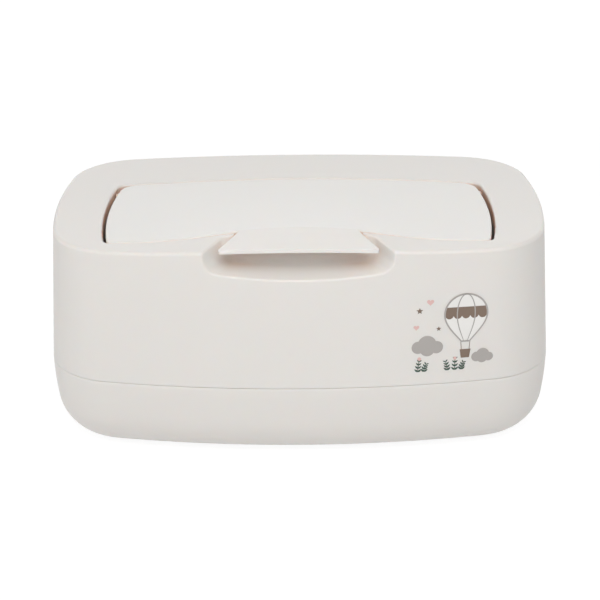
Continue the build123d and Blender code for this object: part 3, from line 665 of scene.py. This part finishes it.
def sprig_tree():
    """Leaves in pairs along a stem, smaller towards its tip, pressed onto the wall."""
    tree, start, end = shape_tree(
        "leafy_sprig",
        ("Stem", OBJECT, None),
        ("Leaf", OBJECT, None),
        ("Leaves", "NodeSocketInt", 7),
        ("Splay", NUMBER, 0.85),
        ("Stem width", NUMBER, 0.35 * MM),
        *WALL_INPUTS,
    )
    stem = object_shape(tree, -2, 0, start.outputs["Stem"])
    leaf = object_shape(tree, -2, 3, start.outputs["Leaf"])
    blade = place(tree, "GeometryNodeFillCurve", -1, 3, {"Curve": leaf})
    feeds = {"Curve": stem, "Count": start.outputs["Leaves"]}
    knots = place(tree, "GeometryNodeResampleCurve", -1, 0, feeds)
    heading = place(tree, "GeometryNodeInputTangent", 0, 4)
    parts = place(tree, "ShaderNodeSeparateXYZ", 1, 4, {0: heading.outputs[0]})
    bearing = maths(tree, "ARCTAN2", 2, 4, parts.outputs["Y"], parts.outputs["X"])
    index = place(tree, "GeometryNodeInputIndex", 0, 6)
    taper = maths(tree, "DIVIDE", 1, 6, index.outputs[0], start.outputs["Leaves"])
    size = maths(tree, "SUBTRACT", 2, 6, LEAF_AT_FOOT, maths(tree, "MULTIPLY", 2, 7, taper, LEAF_FALL))
    join = place(tree, "GeometryNodeJoinGeometry", 6, 0)
    for row, side in ((2, "ADD"), (4, "SUBTRACT")):
        angle = maths(tree, side, 3, row, bearing, start.outputs["Splay"])
        turn = place(tree, "ShaderNodeCombineXYZ", 4, row, {"Z": angle})
        feeds = {
            "Points": knots.outputs[0],
            "Instance": blade.outputs[0],
            "Rotation": turn.outputs[0],
            "Scale": size,
        }
        leaves = place(tree, "GeometryNodeInstanceOnPoints", 5, row, feeds)
        feed(tree, join.inputs[0], leaves.outputs[0])
    strip = place(tree, "GeometryNodeCurvePrimitiveLine", 0, 8)
    half = maths(tree, "MULTIPLY", -1, 8, start.outputs["Stem width"], 0.5)
    for label, sign in (("Start", -1), ("End", 1)):
        across = maths(tree, "MULTIPLY", -1, 10 + sign, half, sign)
        corner = place(tree, "ShaderNodeCombineXYZ", -1, 9 + sign, {"X": across})
        feed(tree, strip.inputs[label], corner.outputs[0])
    level = place(tree, "GeometryNodeSetCurveNormal", 0, 1, {"Curve": stem}, mode="Z_UP")
    feeds = {"Curve": level.outputs[0], "Profile Curve": strip.outputs[0]}
    stalk = place(tree, "GeometryNodeCurveToMesh", 5, 8, feeds)
    feed(tree, join.inputs[0], stalk.outputs[0])
    flat = place(tree, "GeometryNodeRealizeInstances", 7, 0, {0: join.outputs[0]})
    onto_wall(tree, start, end, flat.outputs[0], 8)
    return tree


# Plans and sections


def arc_points(centre, radius, start, end, steps):
    """Points along an arc, its end left out."""
    points = []
    for i in range(steps):
        angle = start + (end - start) * i / steps
        points.append((centre[0] + radius * math.cos(angle), centre[1] + radius * math.sin(angle)))
    return points


def box_plan(sizes):
    """The tray's bowed outline at its parting line, anticlockwise."""
    half_width = (TRAY_HIGH.x - TRAY_LOW.x) / 2
    half_depth = (TRAY_HIGH.y - TRAY_LOW.y) / 2
    back = (0.0, half_depth - sizes.front_bow)
    right = (half_width - sizes.side_bow, 0.0)
    r_back = sizes.front_bow - sizes.corner
    r_right = sizes.side_bow - sizes.corner
    dx, dy = right[0] - back[0], right[1] - back[1]
    span = math.hypot(dx, dy)
    along = (r_back**2 - r_right**2 + span**2) / (2 * span)
    across = math.sqrt(r_back**2 - along**2)
    corner = (back[0] + (along * dx + across * dy) / span, back[1] + (along * dy - across * dx) / span)
    side_turn = math.atan2(corner[1] - right[1], corner[0] - right[0])
    back_turn = math.atan2(corner[1] - back[1], corner[0] - back[0])
    points = []
    for half, flip in ((0.0, 1), (math.pi, -1)):
        near_corner = (flip * corner[0], flip * corner[1])
        far_corner = (-flip * corner[0], flip * corner[1])
        turns = (
            ((flip * right[0], 0.0), sizes.side_bow, 0, side_turn, SIDE_STEPS),
            (near_corner, sizes.corner, side_turn, back_turn, CORNER_STEPS),
            ((0.0, flip * back[1]), sizes.front_bow, back_turn, math.pi - back_turn, BOW_STEPS),
            (far_corner, sizes.corner, math.pi - back_turn, math.pi - side_turn, CORNER_STEPS),
            ((-flip * right[0], 0.0), sizes.side_bow, math.pi - side_turn, math.pi, SIDE_STEPS),
        )
        for centre, radius, low, high, steps in turns:
            points += arc_points(centre, radius, half + low, half + high, steps)
    return points


def tray_section(sizes):
    """The tray's section from its floor's middle, round the outside and back: inset and height."""
    top = sizes.parting
    side_r, low_r = sizes.side_round, sizes.bottom_round
    meet = math.asin((top - sizes.foot_proud - low_r) / (side_r - low_r))
    low_c = (side_r - (side_r - low_r) * math.cos(meet), sizes.foot_proud + low_r)
    side_c = (side_r, top)
    inner_r = side_r - sizes.wall
    bevel = TRAY_BEVEL

    def run(centre, radius, low, high, steps):
        turns = [low + (high - low) * i / steps for i in range(steps + 1)]
        return [(centre[0] - radius * math.cos(turn), centre[1] - radius * math.sin(turn)) for turn in turns]

    def lean(inset, z):
        return (inset + sizes.draft * (z - top), z)

    out = sizes.shell_wall + sizes.spigot_gap
    inner = out + sizes.spigot_wall
    crown = top + sizes.spigot_height
    groove_low = top + SEAL_RISE
    groove_high = groove_low + SEAL_HEIGHT
    deep = out + GROOVE_DEPTH
    section = run(low_c, low_r, math.pi / 2, meet, LOW_ROUND_STEPS)
    section += run(side_c, side_r, meet, math.asin(bevel / side_r), SIDE_ROUND_STEPS)[1:]
    section += [(bevel / 3, top - bevel / 3), (bevel, top), lean(out, top), lean(out, groove_low)]
    section += [lean(deep, groove_low), lean(deep, groove_high), lean(out, groove_high)]
    section += [lean(out, crown - bevel), lean(out + bevel, crown), lean(inner - bevel, crown)]
    section += [lean(inner, crown - bevel), lean(inner, top - INNER_ROOT / 2)]
    section += run(side_c, inner_r, math.asin(INNER_ROOT / inner_r), meet, SIDE_ROUND_STEPS)
    section += run(low_c, low_r - sizes.wall, meet, math.pi / 2, LOW_ROUND_STEPS)[1:]
    return section


def pad_section():
    """A pad's section from its top's middle, down its edge and along its ringed tread: inset and height."""
    top = FOOT_HIGH.z
    step = 0.3 * PAD_FOOT_EDGE
    section = [(FOOT_RADIUS, top), (PAD_TOP_EDGE, top), (0, top - PAD_TOP_EDGE), (0, PAD_FOOT_EDGE)]
    section += [(step, step), (PAD_FOOT_EDGE, 0)]
    for ring in range(TREAD_RINGS):
        near = TREAD_START + TREAD_PITCH * ring
        far = near + TREAD_WIDTH
        section += [(near, 0), (near + TREAD_SLOPE, TREAD_DEPTH), (far - TREAD_SLOPE, TREAD_DEPTH), (far, 0)]
    return section + [(FOOT_RADIUS, 0)]


def rounded_outline(low, high, corner, steps):
    """Outline of a rounded rectangle between two corners, anticlockwise."""
    near_x, near_y = low[0] + corner, low[1] + corner
    far_x, far_y = high[0] - corner, high[1] - corner
    points = []
    for quarter, (x, y) in enumerate(((far_x, near_y), (far_x, far_y), (near_x, far_y), (near_x, near_y))):
        for i in range(steps + 1):
            angle = math.pi / 2 * (quarter - 1 + i / steps)
            points.append((x + corner * math.cos(angle), y + corner * math.sin(angle)))
    return points


# Outlines for the print


def puffs(*circles, steps=120):
    """Outline of a cloud: the outer rim of overlapping circles, seen from its middle."""
    mid_x = sum(x for x, y, r in circles) / len(circles)
    mid_y = sum(y for x, y, r in circles) / len(circles)
    points = []
    for i in range(steps):
        angle = 2 * math.pi * i / steps
        ux, uy = math.cos(angle), math.sin(angle)
        reach = 0.0
        for x, y, r in circles:
            along = (x - mid_x) * ux + (y - mid_y) * uy
            gap = r * r - ((x - mid_x) ** 2 + (y - mid_y) ** 2 - along**2)
            if gap > 0:
                reach = max(reach, along + math.sqrt(gap))
        points.append((mid_x + reach * ux, mid_y + reach * uy))
    return points


def heart(x, y, size, steps=48):
    """Outline of a small heart, by the well-known curve that is 32 units wide."""
    points = []
    for i in range(steps):
        t = 2 * math.pi * i / steps
        across = 16 * math.sin(t) ** 3
        up = 13 * math.cos(t) - 5 * math.cos(2 * t) - 2 * math.cos(3 * t) - math.cos(4 * t)
        points.append((x + size * across / 32, y + size * up / 32))
    return points


def star(x, y, size, notch=4.4):
    """Outline of a small five-pointed star."""
    points = []
    for i in range(10):
        reach = size / 2 if i % 2 == 0 else size / notch
        angle = math.pi / 2 + math.pi * i / 5
        points.append((x + reach * math.cos(angle), y + reach * math.sin(angle)))
    return points


def dot(x, y, size, steps=24):
    """Outline of a round dot."""
    return arc_points((x, y), size / 2, 0, 2 * math.pi, steps)


def thread(x, high, low, lean, width=0.14):
    """Outline of a thin line, leaning outwards towards its top."""
    return [(x - width, low), (x + width, low), (x + lean + width, high), (x + lean - width, high)]


def envelope(x, top, width, height, waist=0.42, neck=0.2, fall=1.1, steps=22):
    """Outline of a balloon: a round crown drawn in to a neck."""
    side = []
    for i in range(1, steps + 1):
        turn = math.pi / 2 * i / steps
        side.append((math.sin(turn), waist * (1 - math.cos(turn))))
    for i in range(1, steps + 1):
        way = i / steps
        side.append((neck + (1 - neck) * math.cos(math.pi / 2 * way) ** fall, waist + (1 - waist) * way))
    right = [(x + width / 2 * out, top - height * down) for out, down in side]
    left = [(2 * x - px, py) for px, py in right]
    return [(x, top)] + left + right[::-1]


def drawn_balloon(x, top, width, height, line):
    """Outer and inner edge of a line that follows a balloon's outline."""
    outer = envelope(x, top + line / 2, width + line, height + line)
    return outer, envelope(x, top - line / 2, width - line, height - line)


def scalloped(x, high, low, half_high, half_low, bumps, steps=10):
    """Outline of a band with a scalloped lower edge."""
    points = [(x - half_low, low), (x - half_high, high), (x + half_high, high), (x + half_low, low)]
    radius = half_low / bumps
    for bump in range(bumps):
        middle = x + half_low - radius * (2 * bump + 1)
        points += arc_points((middle, low), radius, 0, -math.pi, steps)[1:]
    return points


def basket(x, top, width, height, narrowing=0.38):
    """Outline of a small basket, narrower below."""
    foot = width * narrowing
    return [(x - foot, top - height), (x + foot, top - height), (x + width / 2, top), (x - width / 2, top)]


def leaf_outline(size, half_width=0.21, fullness=0.8, steps=12):
    """Outline of a pointed leaf that grows from the origin along +X."""
    points = []
    for i in range(steps + 1):
        way = i / steps
        points.append((size * way, size * half_width * math.sin(math.pi * way**fullness)))
    return points + [(px, -py) for px, py in reversed(points[1:-1])]


def stem_line(foot, rise, lean):
    """Middle line of a sprig's stem, which leans more towards its tip."""
    ways = [i / STEM_STEPS for i in range(STEM_STEPS + 1)]
    return [(foot + lean * way**2, STEM_FOOT + rise * way) for way in ways]


def ink_shapes(finish):
    """Each ink's name and colour, with the loops of every shape that it prints, in printing order."""
    x, top, width, height = BALLOON
    brown = [scalloped(*BALLOON_BAND), basket(*BASKET)]
    brown += [thread(*line) for line in THREADS] + [star(*given) for given in STARS]
    pink = [heart(*given) for given in HEARTS] + [dot(*given) for given in DOTS]
    lines = [drawn_balloon(*BALLOON, LINE), drawn_balloon(x, top, width * SEAM_WIDTH, height, SEAM_LINE)]
    return (
        ("white", finish.chalk, [[envelope(*BALLOON)]]),
        ("grey", finish.soft_grey, [[puffs(*cloud)] for cloud in CLOUDS]),
        ("brown", finish.warm_brown, [[outline] for outline in brown]),
        ("pink", finish.pale_pink, [[outline] for outline in pink]),
        ("outline", finish.soft_grey, lines),
    )


# The studio's parts


def seen_share(tree, column, row):
    """1 for rays from the camera, through something clear or off a glossy face, and 0 for others."""
    rays = place(tree, "ShaderNodeLightPath", column, row).outputs
    looked_at = maths(tree, "MAXIMUM", column + 1, row, rays["Is Camera Ray"], rays["Is Transmission Ray"])
    return maths(tree, "MAXIMUM", column + 2, row, looked_at, rays["Is Glossy Ray"])


def pale_paper():
    """The floor's material: it glows where it is looked at, more so away from the box, and takes shade."""
    paper = bpy.data.materials.new("pale_paper")
    paper.use_nodes = True
    tree = paper.node_tree
    shader = tree.nodes["Principled BSDF"]
    tone = (PAPER_TONE, PAPER_TONE, PAPER_TONE, 1)
    feed_all(tree, shader, {"Base Color": tone, "Roughness": PAPER_ROUGHNESS, "Specular IOR Level": 0.0})
    ground = place(tree, "ShaderNodeTexCoord", -8, 5)
    away = place(tree, "ShaderNodeVectorMath", -6, 5, {0: ground.outputs["Object"]}, operation="LENGTH")
    strength = eased(tree, -4, 5, away.outputs["Value"], *GLOW_FADE, GLOW_BY_BOX, 1.0)
    glow = place(tree, "ShaderNodeEmission", -2, 3, {"Strength": strength})
    shade = place(tree, "ShaderNodeBsdfDiffuse", -2, 5, {"Color": (SHADE_TONE, SHADE_TONE, SHADE_TONE, 1)})
    white = place(tree, "ShaderNodeAddShader", 0, 3, {0: glow.outputs["Emission"], 1: shade.outputs["BSDF"]})
    feeds = {"Fac": seen_share(tree, -6, 3), 1: shader.outputs["BSDF"], 2: white.outputs[0]}
    blend = place(tree, "ShaderNodeMixShader", 2, 0, feeds)
    feed(tree, tree.nodes["Material Output"].inputs["Surface"], blend.outputs[0])
    return paper


def lay_floor():
    """A wide square floor under the box."""
    mesh = bpy.data.meshes.new("studio_floor")
    corners = [(x * FLOOR_REACH, y * FLOOR_REACH, 0) for x, y in ((-1, -1), (1, -1), (1, 1), (-1, 1))]
    mesh.from_pydata(corners, [], [(0, 1, 2, 3)])
    floor = linked("studio_floor", mesh)
    mesh.materials.append(pale_paper())


def light_sky(scene, setup):
    """Even light all round, and white where it is looked at."""
    world = scene.world or bpy.data.worlds.new("studio")
    scene.world = world
    world.use_nodes = True
    tree = world.node_tree
    strength = maths(tree, "MULTIPLY_ADD", -2, 0, seen_share(tree, -5, 0), 1 - setup.sky, setup.sky)
    feed_all(tree, tree.nodes["Background"], {"Color": (1, 1, 1, 1), "Strength": strength})


def hang_lamps(setup):
    """Soft square lamps that all point at the box; each takes its power from the setting of its name."""
    for name, spot, size in LAMPS:
        lamp = bpy.data.lights.new(name, "AREA")
        lamp.size = size
        lamp.energy = getattr(setup, name)
        light = linked(name, lamp)
        light.location = spot
        light.rotation_euler = (Vector((0, 0, setup.aim)) - Vector(spot)).to_track_quat("-Z", "Y").to_euler()
        light.visible_camera = False


def set_camera(scene, setup):
    """The camera, placed by its angles and its distance from the aim point."""
    data = bpy.data.cameras.new("camera")
    data.lens = setup.lens
    data.sensor_width = SENSOR_WIDTH
    data.shift_x = setup.shift_x
    data.shift_y = setup.shift_y
    data.clip_start = CLIP_START
    camera = linked("camera", data)
    turn, rise = math.radians(setup.turn), math.radians(setup.rise)
    away = Vector((math.sin(turn) * math.cos(rise), -math.cos(turn) * math.cos(rise), math.sin(rise)))
    roll = Matrix.Rotation(-math.radians(setup.roll), 3, "Z")
    pose = Euler((math.pi / 2 - rise, 0, turn)).to_matrix() @ roll
    spot = Matrix.Translation(Vector((0, 0, setup.aim)) + away * setup.distance)
    camera.matrix_world = spot @ pose.to_4x4()
    scene.camera = camera


# Operators


def settings():
    """The user's settings."""
    return bpy.context.scene.wipes_box


def moulded(roughness):
    """The finish of the upper shell and lid: fine grain, light let in, and painted shade, darker and warmer,
    in gaps and folds.
    """
    finish = settings().finish
    kept = {name: getattr(finish, name) for name in ("grain", "glow_through", "painted_shade")}
    return {"roughness": roughness, **kept}


def printed(tree, values, name, material):
    """Prints one piece of ink on the front wall."""
    wall = bpy.data.objects["upper_shell_moulding"]
    piece = grown(tree, {**values, "Wall": wall, "Material": material}, name, keep=(wall,))
    piece.data.shade_smooth()
    dress(piece, material, "cover")


class WipesBoxSettings(PropertyGroup):
    """All the box's settings."""

    tray: PointerProperty(type=TraySizes)
    picture: PointerProperty(type=PrintSizes)
    finish: PointerProperty(type=Finishes)
    studio: PointerProperty(type=StudioSetup)


class WIPESBOX_OT_tray(Operator):
    """Make the dished base tray from its outline and section"""

    bl_idname = "wipesbox.tray"
    bl_label = "Base tray"

    def execute(self, context):
        sizes, finish = settings().tray, settings().finish
        plastic = finish_material(
            "tray_plastic", finish.shell, roughness=0.5, grain=finish.grain, glow_through=finish.glow_through
        )
        values = {
            "Outline": line_object("tray_outline", box_plan(sizes), closed=True),
            "Section": line_object("tray_section", tray_section(sizes)),
            "Material": plastic,
        }
        dish = grown(swept_tree(), values, "tray_dish")
        reworked(dish.data, fill_holes)
        outward(dish)
        values = {
            "Body": dish,
            "Radius": FOOT_RADIUS + sizes.foot_fit,
            "Top": FOOT_HIGH.z + sizes.foot_fit,
            "Material": plastic,
            **FOOT_PITCH,
        }
        tray = outward(grown(pocket_tree(), values, "base_tray_shell"))
        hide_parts("base_tray")
        dress(tray, plastic, "base")
        return {"FINISHED"}


class WIPESBOX_OT_seals(Operator):
    """Make the silicone seal round the spigot and the gasket under the lid"""

    bl_idname = "wipesbox.seals"
    bl_label = "Seal and gasket"

    def execute(self, context):
        sizes, finish = settings().tray, settings().finish
        silicone = finish_material(
            "soft_silicone", finish.silicone, roughness=0.55, grain=0.04, grain_size=500.0, drift=0.02
        )
        low_z = sizes.parting + SEAL_RISE
        near = sizes.shell_wall + SEAL_GAP + sizes.draft * (SEAL_RISE + SEAL_HEIGHT)
        far = sizes.shell_wall + sizes.spigot_gap + GROOVE_DEPTH + sizes.draft * SEAL_RISE
        seal_box = ((near, low_z), (far, low_z + SEAL_HEIGHT), SEAL_ROUND)
        gasket_box = ((0.0, GASKET_LOW.z), (GASKET_WIDTH, GASKET_HIGH.z), GASKET_ROUND)
        gasket_plan = rounded_outline(GASKET_LOW, GASKET_HIGH, GASKET_CORNER, GASKET_CORNER_STEPS)
        for name, node, outline, section_box, body in (
            ("spigot_seal", "base_seal", box_plan(sizes), seal_box, "base"),
            ("rim_gasket", "lid_gasket", gasket_plan, gasket_box, "lid"),
        ):
            section = rounded_outline(*section_box, SECTION_CORNER_STEPS)
            values = {
                "Outline": line_object(name + "_outline", outline, closed=True),
                "Section": line_object(name + "_section", section + section[:1]),
                "Material": silicone,
            }
            ring = outward(grown(swept_tree(), values, name))
            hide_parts(node)
            dress(ring, silicone, body)
        return {"FINISHED"}


class WIPESBOX_OT_feet(Operator):
    """Make four rubber feet with a ringed tread"""

    bl_idname = "wipesbox.feet"
    bl_label = "Feet"

    def execute(self, context):
        grip = {"roughness": 0.75, "grain": 0.15, "grain_size": 700.0, "drift": 0.05}
        rubber = finish_material("grip_rubber", settings().finish.rubber, **grip)
        around = arc_points((0, 0), FOOT_RADIUS, 0, 2 * math.pi, PAD_STEPS)
        values = {
            "Outline": line_object("foot_outline", around, closed=True),
            "Section": line_object("foot_section", pad_section()),
            "Material": rubber,
            **FOOT_PITCH,
        }
        feet = outward(grown(foot_set_tree(), values, "rubber_feet"))
        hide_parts("foot_front_left", "foot_front_right", "foot_rear_left", "foot_rear_right")
        dress(feet, rubber, "base")
        return {"FINISHED"}


class WIPESBOX_OT_upper_shell(Operator):
    """Dress the upper shell with its deck, well and finger scoop"""

    bl_idname = "wipesbox.upper_shell"
    bl_label = "Upper shell"

    def execute(self, context):
        shell = merged_copy("upper_shell", "upper_shell_moulding")
        # Its plastic has painted shade, darker and warmer, in gaps, folds and the finger scoop under the tab
        plastic = finish_material("shell_plastic", settings().finish.shell, **moulded(roughness=0.5))
        dress(shell, plastic, "cover")
        return {"FINISHED"}


class WIPESBOX_OT_lid(Operator):
    """Dress the lid with its thumb tab, its liner and its two pins"""

    bl_idname = "wipesbox.lid"
    bl_label = "Lid"

    def execute(self, context):
        lid = merged_copy("lid_cover", "lid_moulding")
        # Its plastic has painted shade, darker and warmer, in gaps and folds
        plastic = finish_material("lid_plastic", settings().finish.lid, **moulded(roughness=0.47))
        dress(lid, plastic, "lid")
        dress(merged_copy("lid_liner", "liner_moulding"), plastic, "lid")
        for side in ("left", "right"):
            pin = merged_copy(f"hinge_pin_{side}", f"turned_pin_{side}")
            dress(pin, plastic, "lid")
        return {"FINISHED"}


class WIPESBOX_OT_press_plate(Operator):
    """Dress the weighted plate and its steel bars"""

    bl_idname = "wipesbox.press_plate"
    bl_label = "Weighted plate"

    def execute(self, context):
        finish = settings().finish
        plastic = finish_material("plate_plastic", finish.plate, roughness=0.45, grain=finish.grain)
        rolled = {"roughness": 0.35, "grain": 0.3, "grain_size": 260.0, "drift": 0.08, "drift_scale": 30.0}
        steel = finish_material("rolled_steel", finish.steel, **rolled, metal=1.0)
        for node in ("plate_cover", "plate_base"):
            dress(merged_copy(node, f"{node}_moulding"), plastic, "press_plate")
        for node in ("plate_weight_front", "plate_weight_rear"):
            dress(merged_copy(node, f"{node}_bar"), steel, "press_plate")
        return {"FINISHED"}


class WIPESBOX_OT_picture(Operator):
    """Print a generic balloon, clouds, hearts and leafy sprigs on the front wall"""

    bl_idname = "wipesbox.picture"
    bl_label = "Printed picture"

    def execute(self, context):
        sizes, finish = settings().picture, settings().finish

        def at(points):
            return [(sizes.middle_x + x * MM, sizes.middle_z + y * MM) for x, y in points]

        shapes = inked_tree()
        for layer, (ink, tint, outlines) in enumerate(ink_shapes(finish)):
            material = finish_material(f"{ink}_ink", tint, drift=0.1, **INK)
            for count, loops in enumerate(outlines):
                values = {
                    "Outline": line_object("outline", *[at(loop) for loop in loops], closed=True),
                    "Proud": sizes.proud * (1 + LAYER_STEP * layer),
                }
                printed(shapes, values, f"print_{ink}_{count + 1}", material)
        green = finish_material("green_ink", finish.leaf_green, drift=0.12, **INK)
        sprigs = sprig_tree()
        for count, sprig in enumerate(SPRIGS):
            values = {
                "Stem": line_object("stem", at(stem_line(*sprig))),
                "Leaf": line_object("leaf", leaf_outline(sizes.leaf), closed=True),
                "Leaves": sizes.leaves,
                "Proud": sizes.proud,
            }
            printed(sprigs, values, f"print_sprig_{count + 1}", green)
        return {"FINISHED"}


class WIPESBOX_OT_studio(Operator):
    """Set up the floor, the soft light and the camera"""

    bl_idname = "wipesbox.studio"
    bl_label = "Studio"

    def execute(self, context):
        setup = settings().studio
        lay_floor()
        light_sky(context.scene, setup)
        hang_lamps(setup)
        set_camera(context.scene, setup)
        context.scene.view_settings.view_transform = "Standard"
        return {"FINISHED"}


OPERATORS = (
    WIPESBOX_OT_tray,
    WIPESBOX_OT_seals,
    WIPESBOX_OT_feet,
    WIPESBOX_OT_upper_shell,
    WIPESBOX_OT_lid,
    WIPESBOX_OT_press_plate,
    WIPESBOX_OT_picture,
    WIPESBOX_OT_studio,
)


class WIPESBOX_PT_panel(Panel):
    """Buttons that make each group of the box's pieces."""

    bl_idname = "WIPESBOX_PT_panel"
    bl_label = "Wipes box"
    bl_space_type = "VIEW_3D"
    bl_region_type = "UI"
    bl_category = "Wipes box"

    def draw(self, context):
        for operator in OPERATORS:
            self.layout.operator(operator.bl_idname)


CLASSES = (TraySizes, PrintSizes, Finishes, StudioSetup, WipesBoxSettings, *OPERATORS, WIPESBOX_PT_panel)


def register():
    for cls in CLASSES:
        bpy.utils.register_class(cls)
    bpy.types.Scene.wipes_box = PointerProperty(type=WipesBoxSettings)


def unregister():
    del bpy.types.Scene.wipes_box
    for cls in reversed(CLASSES):
        bpy.utils.unregister_class(cls)


def main():
    """Dresses every piece and sets up the studio."""
    register()
    bpy.ops.wipesbox.tray()
    bpy.ops.wipesbox.seals()
    bpy.ops.wipesbox.feet()
    bpy.ops.wipesbox.upper_shell()
    bpy.ops.wipesbox.lid()
    bpy.ops.wipesbox.press_plate()
    bpy.ops.wipesbox.picture()
    bpy.ops.wipesbox.studio()


if __name__ == "__main__":
    main()
